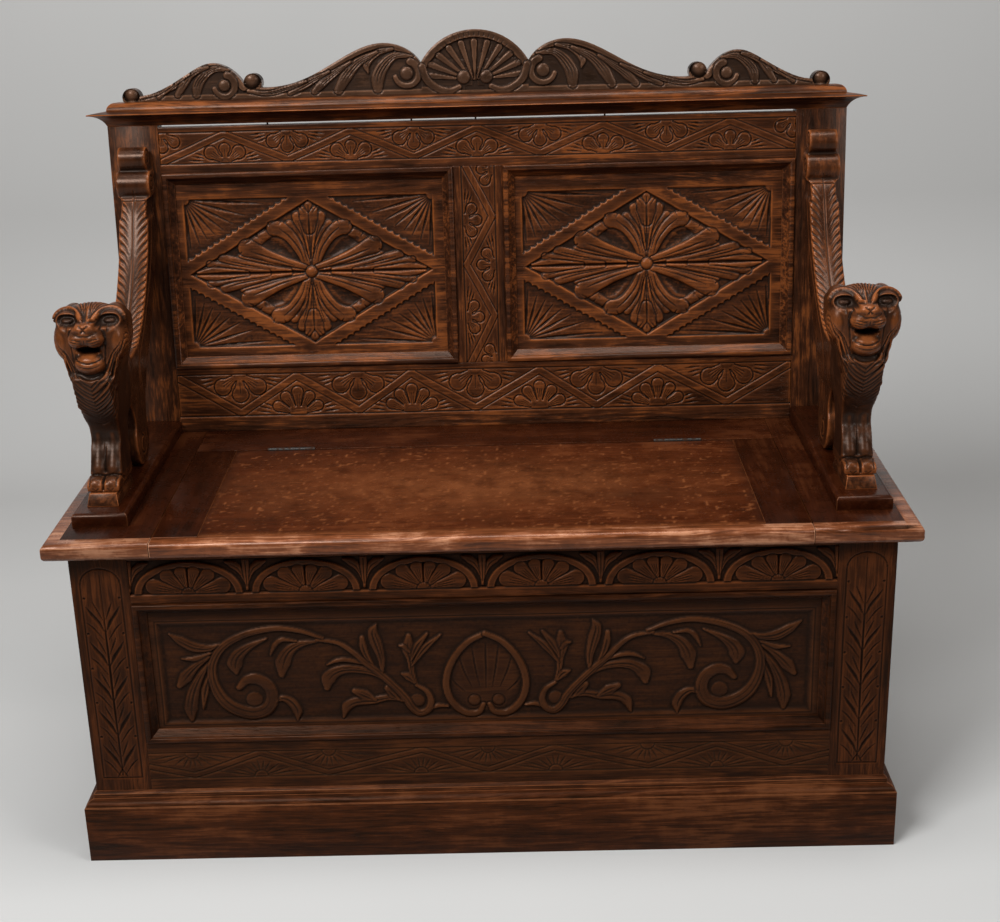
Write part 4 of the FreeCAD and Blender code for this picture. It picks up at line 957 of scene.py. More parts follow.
def back_muntin() -> StrapBoard:
    """The upright between the back panels: a strap with flowers left and right."""
    left, right = [(-22.5, 296.0), (-22.5, 158.5)], [(22.0, 233.0)]
    return StrapBoard("back_muntin", BACK_PLANE, BACK, Grain.UP, pitch=1.0, slab=5.0, seed=6, tone=0.85,
                      area=(-23.0, 23.0, 60.0, 410.0),
                      corners=((-17.0, 372.0), (18.7, 301.0), (-18.7, 233.5), (18.7, 161.0), (-17.0, 92.0)),
                      flowers=(*band_flowers(left, 0.0, 27.0, 28.0, 5.0),
                               *band_flowers(right, 180.0, 27.0, 28.0, 5.0),
                               ((22.0, 366.0), 205.0, (24.0, 27.0), 52.0, 5.0),
                               ((22.0, 97.0), 155.0, (27.0, 24.0), 52.0, 5.0)),
                      gouges=(*band_gouges(left, 0.0, 24.0), *band_gouges(right, 180.0, 24.0)))


@dataclass
class LunetteRail(CarvedBoard):
    """The rail over the front panel: six half-round fans with leaves between them."""
    area: Four = (-441.0, 441.0, 373.0, 419.0)
    step: float = 146.0
    outer: Point = (67.0, 43.4)
    inner: Point = (58.5, 36.5)

    def carve(self, relief: Relief) -> None:
        """Cuts the spandrels, the arches and what fills them."""
        base = self.area[2]
        offset = np.abs(relief.x) - (np.abs(relief.x) // self.step + 0.5) * self.step
        rise = np.maximum(relief.y - base, 0.0)
        outside = (np.hypot(offset / self.outer[0], rise / self.outer[1]) - 1.0) * self.outer[1]
        inside = (1.0 - np.hypot(offset / self.inner[0], rise / self.inner[1])) * self.inner[1]
        relief.height -= 3.2 * softly(outside + 0.3) + 2.8 * softly(inside + 0.3)
        for index in range(-3, 3):
            hub = ((index + 0.5) * self.step, base)
            relief.fan(hub, 90.0, (54.0, 44.0, 38.0, 38.0, 44.0, 54.0), 152.0, 8.5, -2.8, -0.2, 1.2)
            relief.line((hub[0], base + 9), (hub[0], base + 35), 1.6, 2.0)
        for index in range(-3, 4):
            centre = index * self.step
            for side in (-1, 1):
                leaf, vein = (
                    [(centre + side * across, up) for across, up in path]
                    for path in (((1, 384), (5, 400), (15, 411), (24, 415)), ((3, 392), (9, 405), (18, 412))))
                relief.lobe(Stroke(leaf, (1.0, 4.0, 5.4, 2.0)), -0.4, -1.5, -3.2, 1.0)
                relief.cut(vein, (0.5, 1.2, 0.5), 1.4)
            bud = Stroke([(centre, up) for up in (418, 404, 377)], (4.4, 4.6, 1.2))
            relief.lobe(bud, -0.2, -1.4, -3.2, 1.2)
            relief.line((centre, 416), (centre, 382), 1.2, 1.6)
        relief.keep_outside(self.area)
        relief.roughen(0.2, self.seed * 7, below=-1.5)


@dataclass
class WaveRail(CarvedBoard):
    """The rail under the front panel: a shallow cut wave with fans on both sides."""
    area: Four = (-445.0, 445.0, 112.4, 149.4)
    valleys: Sequence[float] = (-382.0, -205.0, 0.0, 205.0, 382.0)
    peaks: Sequence[float] = (-294.0, -87.0, 87.0, 294.0)

    def carve(self, relief: Relief) -> None:
        """Cuts the wave, then rays from hubs on both lines."""
        bends = sorted([(x, 118.5, 9) for x in self.valleys] + [(x, 143.5, 10) for x in self.peaks])
        path = [(x + side * flat, up) for x, up, flat in bends for side in (-1, 1)]
        wave = Stroke(((-470.0, 138.0), *path, (470.0, 138.0)), (4.0, 4.0))
        for hubs, line, aim in ((self.peaks, self.area[2], 90.0), (self.valleys, self.area[3], 270.0)):
            for x in hubs:
                relief.outline(Stroke.spot((x, line), 9.0), 1.2, 1.8)
                turns = [aim + turn for turn in (-80, -70, -52, -30, -10, 10, 30, 52, 70, 80)]
                relief.rays((x, line), turns, 10.0, (56, 42, 30, 25, 24, 24, 25, 30, 42, 56), 1.5, 1.9)
        patch, outside, _ = relief.near(wave, 2.0)
        relief.height[patch] *= 1.0 - softly((0.5 - outside) / 0.8)
        relief.outline(wave, 1.2, 1.9)
        relief.keep_outside(self.area)


@dataclass
class FoliagePanel(CarvedBoard):
    """The long front panel: a shell between two running scrolls of leaves, on sunk ground."""
    ground: float = 3.6
    area: Four = (-415.0, 415.0, 184.0, 331.0)

    STEMS = (
        Stroke(((-205, 303), (-230, 313), (-260, 318), (-290, 314), (-312, 306), (-330, 295), (-342, 280),
                (-348, 262), (-346, 240), (-336, 218), (-320, 204), (-300, 198), (-282, 204), (-274, 220),
                (-278, 237), (-291, 247), (-305, 246), (-315, 236)),
               (2.6, 3.6, 4.6, 5.0, 5.6, 6.4, 8.4, 9.4, 8.4, 8.0, 7.6, 4.0)),
        Stroke(((-212, 301), (-186, 296), (-168, 283), (-154, 268), (-140, 256), (-126, 242), (-113, 228),
                (-102, 214), (-96, 203), (-86, 194), (-75, 199), (-71, 212), (-76, 225), (-88, 234)),
               (2.4, 3.4, 4.0, 4.4, 4.8, 5.2, 5.0, 4.8, 4.0, 2.4)),
    )
    LEAVES = (
        Stroke(((-276, 304), (-297, 294), (-312, 282), (-318, 270), (-317, 257)), (1.6, 4.4, 8.0, 10.0, 3.0)),
        Stroke(((-212, 299), (-232, 296), (-248, 286), (-257, 270), (-260, 252)), (2.0, 4.6, 7.4, 10.0, 4.0)),
        Stroke(((-238, 300), (-256, 302), (-266, 294), (-272, 281)), (1.6, 3.4, 3.6, 1.2)),
        Stroke(((-334, 297), (-350, 292), (-368, 294), (-384, 303), (-398, 313)), (2.0, 5.0, 7.4, 6.4, 1.2)),
        Stroke(((-348, 285), (-366, 278), (-385, 278)), (2.4, 4.4, 1.2)),
        Stroke(((-350, 280), (-368, 267), (-382, 252), (-391, 240)), (2.2, 5.0, 8.6, 4.0)),
        Stroke(((-350, 272), (-364, 252), (-374, 230), (-379, 208), (-379, 191)), (2.2, 5.0, 8.0, 9.0, 3.4)),
        Stroke(((-351, 256), (-359, 232), (-363, 207)), (2.4, 5.4, 1.6)),
        Stroke(((-272, 214), (-261, 219), (-250, 213), (-243, 201), (-243, 188)), (2.4, 4.6, 6.4, 6.8, 2.0)),
        Stroke(((-128, 242), (-144, 253), (-168, 258), (-187, 256), (-200, 246), (-203, 232)),
               (2.6, 4.4, 5.4, 7.0, 9.4, 4.0)),
        Stroke(((-150, 264), (-172, 271), (-188, 271), (-201, 265)), (1.6, 3.4, 3.2, 1.0)),
        Stroke(((-142, 260), (-150, 276), (-154, 290), (-155, 302)), (2.0, 4.0, 5.0, 3.4)),
        Stroke(((-132, 250), (-132, 272), (-138, 296), (-141, 310), (-136, 321)), (2.2, 5.0, 8.0, 6.4, 1.0)),
        Stroke(((-106, 212), (-124, 217), (-146, 213), (-166, 212), (-179, 205), (-184, 190)),
               (2.4, 4.4, 5.6, 6.4, 6.8, 2.0)),
        Stroke(((-112, 214), (-120, 222), (-126, 230)), (2.0, 5.6, 4.4)),
        Stroke(((-142, 214), (-156, 221), (-168, 227)), (2.4, 7.4, 4.0)),
        Stroke(((-88, 233), (-93, 250), (-95, 270), (-97, 286), (-96, 303)), (2.4, 3.4, 4.6, 8.4, 3.6)),
        Stroke(((-94, 270), (-86, 288), (-73, 306)), (1.6, 5.4, 2.0)),
        Stroke(((-93, 262), (-76, 286), (-56, 304)), (1.4, 4.8, 1.6)),
        Stroke(((-91, 238), (-98, 246), (-106, 250)), (2.4, 5.6, 2.0)),
        Stroke(((-96, 282), (-102, 289), (-108, 290)), (2.4, 3.6, 1.6)),
        Stroke(((-72, 200), (-62, 204), (-50, 203)), (2.4, 3.4, 2.0)),
    )
    EYES = (((-297, 218), 10.5), ((-88, 212), 9.0))
    RIM = Stroke(((0, 304), (-20, 294), (-36, 277), (-47, 256), (-51, 236), (-48, 217), (-38, 201),
                  (-24, 192), (-10, 194), (-4, 205)), (3.6, 4.2, 4.6, 4.6, 4.8, 4.6, 3.2))

    def carve(self, relief: Relief) -> None:
        """Cuts the ground, the leaves, the stems over them, and the shell."""
        inside = relief.within(self.area)
        relief.height -= self.ground * softly(inside / 9.0) + np.clip(1.0 - np.abs(inside) / 1.4, 0.0, 1.0)
        floor = -self.ground
        for leaf in mirrored(self.LEAVES):
            relief.lobe(leaf, -0.3, -2.2, floor, moat=0.7, soft=1.6)
            if max(leaf.widths) > 4.5:
                relief.groove(leaf.beside(0.12, 1.6), 1.5)
            if max(leaf.widths) > 7.0:
                relief.groove(leaf.beside(-0.45, 1.0), 0.9)
        for (across, up), radius in self.EYES:
            for side in (-1, 1):
                relief.mound((side * across, up), radius, -1.2, floor, 0.6)
        for stem in mirrored(self.STEMS):
            relief.lobe(stem, 0.0, -1.9, floor, moat=0.9, soft=1.6)
            relief.groove(stem.beside(0.35, 1.5), 1.0)
            relief.groove(stem.beside(-0.4, 1.0), 0.6)
        self.shell(relief, floor)
        relief.roughen(0.28, self.seed * 13, below=-2.6)

    def shell(self, relief: Relief, floor: float) -> None:
        """Cuts the fluted shell in the middle."""
        bowl = np.clip(1.0 - np.hypot(relief.x / 50.0, (relief.y - 243.0) / 56.0), 0.0, 1.0)
        inner = floor + 2.2 * softly(bowl * 3.0) - 0.8 * softly((relief.y - 215.0) / 60.0)
        relief.height = np.where(bowl > 0, np.maximum(relief.height, inner), relief.height)
        relief.cut(((0, 228), (0.53, 260), (1, 292)), (0.8, 1.6, 1.2), 2.0)
        for foot, head in (((8, 230), (17, 288)), ((18, 230), (33, 272)), ((27, 224), (45, 244))):
            middle = ((foot[0] + head[0]) / 2 * 1.06, (foot[1] + head[1]) / 2)
            for flute in mirrored([Stroke((foot, middle, head), (0.8, 1.6, 1.2))]):
                relief.groove(flute, 2.0)
        for stroke in mirrored([self.RIM]):
            relief.lobe(stroke, 0.3, -1.4, floor, moat=1.5)
        for side in (-1, 1):
            relief.mound((side * 15.5, 211.0), 8.0, 0.2, floor, 1.5)


@dataclass
class LeafStile(CarvedBoard):
    """A front corner post with a cut branch: a stem and pairs of pointed leaves."""
    middle: float = 0.0
    half: float = 25.0
    foot: float = 115.0
    head: float = 402.0
    pitch_up: float = 48.75

    CUTS = (
        (((21, 0), (15, -10), (7, -22), (1, -35)), (0.6, 2.6, 3.0, 1.0), 2.6),
        (((22, -22), (14, -30), (3, -46)), (0.6, 1.5, 0.7), 1.8),
        (((12, 6), (8, -4), (2, -18)), (0.6, 1.6, 0.7), 1.8),
    )

    def carve(self, relief: Relief) -> None:
        """Cuts the stem, the outline with its round head, and the leaves."""
        relief.cut([(self.middle, up) for up in (self.foot + 4, 260, self.head)], (1.2, 2.0, 0.8), 2.6)
        spring = self.head - 14
        left, right = self.middle - self.half, self.middle + self.half
        arch = [(self.middle + self.half * math.sin(turn), spring + 22 * math.cos(turn))
                for turn in np.linspace(-math.pi / 2, math.pi / 2, 11)]
        edge = relief.apart([(left, self.foot), (left, spring), *arch, (right, self.foot), (left, self.foot)])
        relief.height -= 1.5 * np.clip(1.0 - edge / 1.2, 0.0, 1.0)
        for side in (-1, 1):
            for start in np.arange(164.0, 380.0, self.pitch_up):
                for points, widths, depth in self.CUTS:
                    places = [(self.middle + side * across, start + up) for across, up in points]
                    relief.cut(places, widths, depth)
                across = self.middle + side * 22
                relief.cut(((across, start + 11), (across, start + 11.1)), (1.9, 1.9), 2.2, hollow=True)
            relief.line((self.middle + side * 6, self.foot + 2), (self.middle, self.foot + 12), 1.2, 1.6)


@dataclass
class Cresting:
    """The shaped top of the back: a shell between two pairs of scrolls, cut from one board."""
    node: str = "cresting"
    pitch: float = 1.1
    ground: float = 3.4
    deepest: float = 7.0
    thick: float = 22.0

    LOBES = (
        Stroke(((86, 520), (108, 522), (124, 510), (133, 494), (134, 479)), (2.4, 5.0, 8.0, 9.4, 7.0)),
        Stroke(((112, 531), (134, 526), (148, 512), (146, 500)), (2.4, 5.0, 5.6, 1.4)),
        Stroke(((134, 527), (160, 514), (177, 496), (188, 478)), (3.0, 6.4, 8.4, 6.6)),
        Stroke(((170, 515), (194, 500), (210, 488), (221, 477)), (2.6, 5.2, 6.6, 5.0)),
        Stroke(((200, 503), (226, 490), (242, 482), (255, 476)), (2.2, 4.8, 5.4, 4.0)),
        Stroke(((232, 491), (262, 481), (288, 476), (312, 480)), (2.0, 3.6, 3.4, 3.0)),
        Stroke(((338, 508), (358, 510), (374, 500), (382, 488), (384, 477)), (2.0, 4.6, 6.6, 7.4, 5.6)),
        Stroke(((366, 513), (388, 505), (400, 492), (410, 477)), (2.4, 5.0, 5.8, 4.6)),
        Stroke(((392, 504), (412, 494), (426, 484), (436, 475)), (2.0, 4.2, 4.8, 3.6)),
        Stroke(((416, 491), (438, 481), (462, 474)), (1.8, 3.4, 2.2)),
    )
    EYES = (((93.5, 498.0), 9.0, 16.5), ((345.0, 488.0), 8.0, 14.5))
    BALLS = (Stroke.spot((307.3, 494.5), 11.8), Stroke.spot((474.0, 479.0), 11.0))
    CURL = Stroke(((72, 506), (66, 489), (52, 477), (36, 473), (22, 478)), (5.0, 5.4, 5.0, 4.4, 3.6))

    @staticmethod
    def outline_of(board: Object) -> tuple[Array, float]:
        """The board's outline, read from its front face, and how deep that face lies."""
        across, up, depth = BACK_PLANE.read(points_of(board))
        faces = [face for face in board.data.polygons
                 if all(depth[index] < depth.min() + 0.2 for index in face.vertices)]
        order = list(max(faces, key=lambda face: face.area).vertices)
        return np.column_stack([across[order], up[order]]), depth.min()

    @staticmethod
    def signed(x: Array, y: Array, outline: Array) -> tuple[Array, Array]:
        """How far inside the outline points are, and the nearest points of it."""
        nearest, foot = np.full(x.shape, 1e6), np.zeros((*x.shape, 2))
        inside = np.zeros(x.shape, bool)
        for start, end in zip(outline, np.roll(outline, -1, axis=0)):
            share, gap = beside_run(x, y, start, end)
            closer = gap < nearest
            nearest = np.where(closer, gap, nearest)
            foot[closer] = (start + share[..., None] * (end - start))[closer]
            if start[1] != end[1]:
                slope = (end[0] - start[0]) / (end[1] - start[1])
                inside ^= ((start[1] > y) != (end[1] > y)) & (x < slope * (y - start[1]) + start[0])
        return np.where(inside, nearest, -nearest), foot

    def carve(self, relief: Relief, rim: Array) -> None:
        """Cuts the shell, the scrolls and their leaves; rim is the distance inside the outline."""
        floor = -self.ground
        border = 7.0 + 3.0 * (np.abs(relief.x) < 74)
        relief.height -= self.ground * softly((rim - border) / 1.6) * softly((relief.y - 469.0) / 2.0)
        for lobe in mirrored(self.LOBES):
            relief.lobe(lobe, -0.1, -2.0, floor, moat=1.4)
            for share in ((-0.45, 0.0, 0.45) if max(lobe.widths) > 6 else (-0.25, 0.3)):
                relief.groove(lobe.beside(share, 1.3), 1.7)
        for centre, button, ring in self.EYES:
            hook = [polar(centre, turn, ring) for turn in np.linspace(1.9, 6.0, 12)]
            for stroke in mirrored([Stroke(hook, (5.4, 5.0, 4.4, 4.0, 3.4))]):
                relief.lobe(stroke, 0.0, -1.4, floor, moat=1.4)
            for side in (-1, 1):
                relief.mound((side * centre[0], centre[1]), button, 0.2, floor, 1.4)
        self.shell(relief, floor)
        for ball in mirrored(self.BALLS):
            patch, outside, _ = relief.near(ball, 4.0)
            dome = -6.0 * np.clip(1.0 + outside / ball.widths[0], 0.0, 1.0) ** 2
            relief.height[patch] = np.where(outside < 0.8, dome, relief.height[patch])
        relief.height -= 1.6 * np.clip(1.0 - rim / 2.2, 0.0, 1.0) ** 2
        relief.height = np.maximum(relief.height, -self.deepest)

    def shell(self, relief: Relief, floor: float) -> None:
        """Cuts the shell's flutes, its ticked rim and the two curls under it."""
        bowl = 1.0 - np.hypot(relief.x / 60.0, (relief.y - 486.0) / 55.0)
        within = (bowl > 0) & (relief.y > 474.0)
        sunk = np.minimum(relief.height, -2.0 - 2.2 * softly(bowl * 3))
        relief.height = np.where(within, sunk, relief.height)
        for index in range(-5, 6):
            turn = math.radians(90 + 16.5 * index)
            root = (-2.52 * index, 488.0)
            tip = (root[0] + 54 * math.cos(turn), root[1] + 50 * math.sin(turn))
            middle = ((root[0] + tip[0]) / 2, (root[1] + tip[1]) / 2)
            relief.lobe(Stroke((root, middle, tip), (1.2, 2.8, 4.6)), -0.9, -1.9, floor - 0.8, moat=1.2)
        for turn in np.radians(90 + np.linspace(-82, 82, 27)):
            tick = [(reach * math.cos(turn), 490 + (reach - 4) * math.sin(turn)) for reach in (61, 66)]
            relief.cut(tick, (1.3, 0.5), 1.2)
        for stroke in mirrored([self.CURL]):
            relief.lobe(stroke, 0.0, -1.2, floor, moat=1.2)
        for side in (-1, 1):
            relief.mound((side * 15.5, 491.0), 9.0, 0.2, floor, 1.4)

    def trim(self, face: Object, keep: Array, feet: Array) -> None:
        """Cuts a sheet down to the points to keep, and draws its new rim onto the outline.

        Args:
            face: the carved sheet.
            keep: which of its points stay.
            feet: the place on the outline next to each of its points, in metres.
        """
        mesh = bmesh.new()
        mesh.from_mesh(face.data)
        ids = mesh.verts.layers.int.new("grid_id")
        for index, vert in enumerate(mesh.verts):
            vert[ids] = index
        bmesh.ops.delete(mesh, geom=[vert for vert in mesh.verts if not keep[vert[ids]]], context="VERTS")
        bmesh.ops.delete(mesh, geom=[vert for vert in mesh.verts if not vert.link_faces], context="VERTS")
        for vert in mesh.verts:
            if vert.is_boundary:
                vert.co = Vector(feet[vert[ids]])
        mesh.to_mesh(face.data)
        mesh.free()
        face.data.attributes.remove(face.data.attributes["grid_id"])

    def build(self) -> None:
        """Cuts the board's face from a grid trimmed to its outline, and closes it behind."""
        board = copy_of(self.node, self.node + "_board")
        outline, depth = self.outline_of(board)
        bpy.data.objects.remove(board)
        low, high = outline.min(axis=0), outline.max(axis=0)
        relief = Relief(evened(low[0], high[0], self.pitch), evened(low[1], high[1], self.pitch))
        rim, foot = self.signed(relief.x, relief.y, outline)
        self.carve(relief, np.maximum(rim, 0.0))
        face = sheet_of(relief, 0.8 * np.clip(1 - rim / 2.5, 0, 1))
        move_points(face, BACK_PLANE.place(relief.x.ravel(), relief.y.ravel(), depth - relief.height.ravel()))
        feet = BACK_PLANE.place(foot[..., 0].ravel(), foot[..., 1].ravel(), np.full(rim.size, depth + 1.2))
        self.trim(face, rim.ravel() > 0.35 * self.pitch, feet / METRE)
        close_behind(face, BACK_PLANE, depth + self.thick)
        face.name = self.node + "_carved"
        dressed(face, CREST, Grain.ACROSS, [self.node])


class Sculpted:
    """A mesh shaped by pushing its skin along its normals."""

    def __init__(self, obj: Object) -> None:
        """Reads the mesh once."""
        self.obj = obj
        self.points = points_of(obj)
        self.ends = read_all(obj.data.edges, "vertices", 2, np.int32)
        self.reread()

    def reread(self) -> None:
        """Writes the points back and reads the normals again."""
        move_points(self.obj, self.points)
        self.normals = read_all(self.obj.data.vertices, "normal", 3).astype(float)

    def averaged(self, values: Array, times: int) -> Array:
        """Values averaged with their neighbours, again and again."""
        first, second = self.ends[:, 0], self.ends[:, 1]
        size = len(self.points)
        links = np.bincount(first, minlength=size) + np.bincount(second, minlength=size)
        for _ in range(times):
            total = np.column_stack([np.bincount(first, values[second, axis], size)
                                     + np.bincount(second, values[first, axis], size)
                                     for axis in range(values.shape[1])])
            values = 0.5 * values + 0.5 * total / np.maximum(links, 1)[:, None]
        return values

    def mark(self, painted_shade: Array, rubbed: Array) -> None:
        """Stores painted shade where the skin is hollow and wear where it stands out, adding the given masks
        of each.
        """
        self.reread()
        close, wide = (((self.averaged(self.points, times) - self.points) * self.normals).sum(axis=1)
                       for times in (3, 30))
        hollow = 1.5 * np.clip(close - 0.02, 0, None) / 0.25 + 0.8 * np.clip(wide - 0.1, 0, None) / 1.3
        proud = 0.45 * np.clip(-close - 0.03, 0, None) / 0.2 + 0.35 * np.clip(-wide - 0.15, 0, None) / 0.9
        paint(self.obj, "recess", np.clip(hollow + painted_shade, 0, 0.95))
        paint(self.obj, "wear", np.clip(proud + rubbed, 0, 1))


def paired(*rows: tuple[Triple, Triple]) -> tuple[tuple[Triple, Triple], ...]:
    """Masses, each a middle and three radii, on both sides of the arm's middle."""
    return tuple(((side * middle[0], *middle[1:]), radii) for middle, radii in rows for side in (-1, 1))


@dataclass
class LionArm:
    """An arm: scroll rolls at the top, a leaf down the neck, a lion's head, mane, leg and paw.

    Places are read as across from the arm's middle, forward from the back's foot and up from the arm base.
    """
    word: str
    side: int
    middle: float = 474.0
    voxel: float = 1.4
    breast: float = 226.0
    depth_fully_shaded: float = 12.0

    NECK = ((-6, 335), (-2, 327), (12, 312), (22, 294), (38, 262), (66, 224), (108, 184), (158, 158),
            (198, 154))
    FRONT = ((262, 237), (288, 244), (310, 237), (326, 221), (332, 196), (328, 168), (322, 140), (304, 108),
             (290, 88), (288, 70), (300, 47), (309, 32), (324, 28), (327, 16))
    FACE = (((0, 321, 218), (20.5, 17, 14)), ((0, 325, 228), (16.5, 12.5, 8)),
            ((0, 317, 181.5), (19.5, 15, 14.5)), ((0, 284, 229), (38, 25, 21)),
            *paired(((10, 325, 214), (12, 13, 10.5)), ((32, 298, 207), (14, 20, 26)),
                    ((26, 297, 231), (16.5, 17, 13.5)), ((26, 270, 222), (17, 24, 24))))
    CHEST_AND_TOES = paired(((21, 297, 160), (9, 20, 20)), ((10, 317, 24), (10.5, 10, 9)))
    LEG = ((78, 287, 3.5), (72, 285.5, 5.0), (66, 285.5, 6.5), (60, 287, 7.6), (54, 289.5, 8.6),
           (48, 292.5, 9.3), (42, 296, 9.6), (37, 299, 9.4))
    SINEWS = paired(*(((9.2, forward, up), (wide, wide, wide + 2.0)) for up, forward, wide in LEG))
    HOLLOWS = (*paired(((26.5, 314, 234.5), (15, 13, 8))), ((0, 337, 199.5), (17, 29, 5.6)))
    EYES = paired(((26, 299, 231.5), (8.5, 9.5, 4.4)))

    def __post_init__(self) -> None:
        """Finds the arm's foot."""
        self.foot = corners_mm(f"arm_base_{self.word}")[1].z

    def block(self) -> Object:
        """The sawn plank, its side blocks and the masses of the head and paw as one skin."""
        parts = [copy_of(f"lion_arm_{self.word}", "lion_plank"),
                 copy_of(f"lion_cheeks_{self.word}", "lion_blocks")]
        for (across, forward, up), radii in self.FACE + self.CHEST_AND_TOES + self.SINEWS:
            clear_selection()
            place = Vector((self.side * self.middle + across, BACK_FACE - forward, self.foot + up)) / METRE
            bpy.ops.mesh.primitive_uv_sphere_add(segments=28, ring_count=18, radius=1.0, location=place)
            mass = bpy.context.object
            mass.scale = Vector(radii) / METRE
            parts.append(settle(mass))
        whole = joined(parts, f"lion_arm_{self.word}_carved")
        apply_modifier(whole, "REMESH", mode="VOXEL", voxel_size=self.voxel / METRE)
        apply_modifier(whole, "SMOOTH", factor=0.5, iterations=7)
        return whole

    @staticmethod
    def skin_places(points: Array, path: Sequence[Point]) -> tuple[Array, Array, Array]:
        """Where points lie on the skin that follows a side profile.

        Args:
            points: rows of across, forward and up.
            path: the profile, as forward and up.
        Returns:
            How far round from the middle, down along the profile and behind it each point is.
        """
        line = flowing(path, 5)
        lengths = np.concatenate([[0.0], np.cumsum(np.hypot(*np.diff(line, axis=0).T))])
        nearest, along = np.full(len(points), 1e6), np.zeros(len(points))
        for start, end, before, after in zip(line, line[1:], lengths, lengths[1:]):
            share, gap = beside_run(points[:, 1], points[:, 2], start, end)
            closer = gap < nearest
            nearest = np.where(closer, gap, nearest)
            along = np.where(closer, before + share * (after - before), along)
        around = np.sign(points[:, 0]) * (np.abs(points[:, 0]) + np.maximum(nearest - 8.0, 0.0))
        return around, along, nearest

    @staticmethod
    def press(skin: Sculpted, relief: Relief, around: Array, along: Array, share: Array) -> None:
        """Pushes the skin by a relief's heights where it lies under the relief."""
        under = (around >= relief.across[0]) & (around <= relief.across[-1])
        skin.points += skin.normals * (under * relief.read(around, along) * share)[:, None]

    @staticmethod
    def neck_leaf() -> Relief:
        """The leaf down the neck: a midrib, and gouges that bite its edges."""
        relief = Relief(np.arange(-34.0, 34.1, 0.7), np.arange(0.0, 300.0, 0.7))
        relief.line((0, 0), (0, 292), 1.1, 1.3)
        relief.line((-30, 17), (30, 17), 1.3, 1.6)
        for start in 22 + 11.5 * np.arange(21):
            bite = Stroke(
                ((26, start - 9), (19, start - 3), (12, start + 3), (5.5, start + 14)), (2.6, 3.0, 2.0, 0.5))
            for stroke in mirrored([bite]):
                relief.groove(stroke, 2.8)
        return relief

    def hollow_out(self, local: Array) -> Array:
        """Rounds the face, presses the eye sockets and the mouth back, then brings the eyeballs forward.

        Args:
            local: rows of across, forward and up, changed in place.
        Returns:
            How deep each point was pressed below the rounded face.
        """
        across, up = local[:, 0], local[:, 2]
        limit = 285.0 + 36.5 * np.clip(1.0 - np.abs(across / 49.0) ** 2.4, 0.0, 1.0) ** (1 / 2.4)
        for middle, radii in self.FACE:
            spread = ((across - middle[0]) / radii[0]) ** 2 + ((up - middle[2]) / radii[2]) ** 2
            dome = middle[1] + radii[1] * np.sqrt(np.clip(1 - spread, 0, 1))
            limit = np.where(spread < 1.0, np.maximum(limit, dome), limit)
        zone = softly((up - 162.0) / 9.0) * softly((240.0 - up) / 6.0)
        local[:, 1] -= zone * np.maximum(local[:, 1] - limit, 0.0)
        rounded = local[:, 1].copy()
        for places, way in ((self.HOLLOWS, -1), (self.EYES, 1)):
            for middle, radii in places:
                spread = sum(np.abs((local[:, axis] - middle[axis]) / radii[axis]) ** 2.6 for axis in (0, 2))
                skin = middle[1] + way * radii[1] * np.sqrt(np.clip(1.0 - spread, 0.0, 1.0))
                picked = (spread < 1.0) & (local[:, 1] > middle[1] - 1.5 * radii[1])
                moved = np.minimum(local[:, 1], skin) if way < 0 else np.maximum(local[:, 1], skin)
                local[:, 1] = np.where(picked, moved, local[:, 1])
        return rounded - local[:, 1]

    def front(self) -> Relief:
        """The head, the mane, the leg and the toes, across and down from the crown."""
        relief = Relief(np.arange(-70.0, 70.1, 0.6), np.arange(0.0, 312.0, 0.6))
        for side in (-1, 1):
            self.half_face(relief, side)
        relief.cut(((0, 72), (0, 88)), (1.0, 0.9), 1.4)
        relief.cut(((-19, 107), (0, 110.5), (19, 107)), (0.9, 1.7, 0.9), 2.6)
        relief.cut(((-15, 114), (0, 116.5), (15, 114)), (0.5, 1.1, 0.5), 1.3)
        relief.cut(((-16, 127), (0, 131), (16, 127)), (2.0, 4.8, 2.0), 5.0, hollow=True)
        draw = np.random.default_rng(17)
        for start in 143.0 + 6.1 * np.arange(12):
            for side in (-1, 1):
                lean = draw.normal(0.0, 1.2, 3)
                lock = ((0, start), (side * 12, start - 10 + lean[0]), (side * 25, start - 25 + lean[1]),
                        (side * 38, start - 44 + lean[2]), (side * 48, start - 62))
                relief.cut(lock, (1.4, 2.0, 2.1, 1.7, 0.5), draw.uniform(2.0, 2.9))
        relief.cut(((0, 226), (0, 250), (0, 275)), (0.3, 1.3, 1.5), 2.0)
        relief.cut(((-30, 277), (0, 279), (30, 277)), (1.5, 2.0, 1.5), 3.4)
        relief.cut(((0, 280), (0, 296), (0, 308)), (1.8, 2.4, 2.0), 4.0)
        return relief

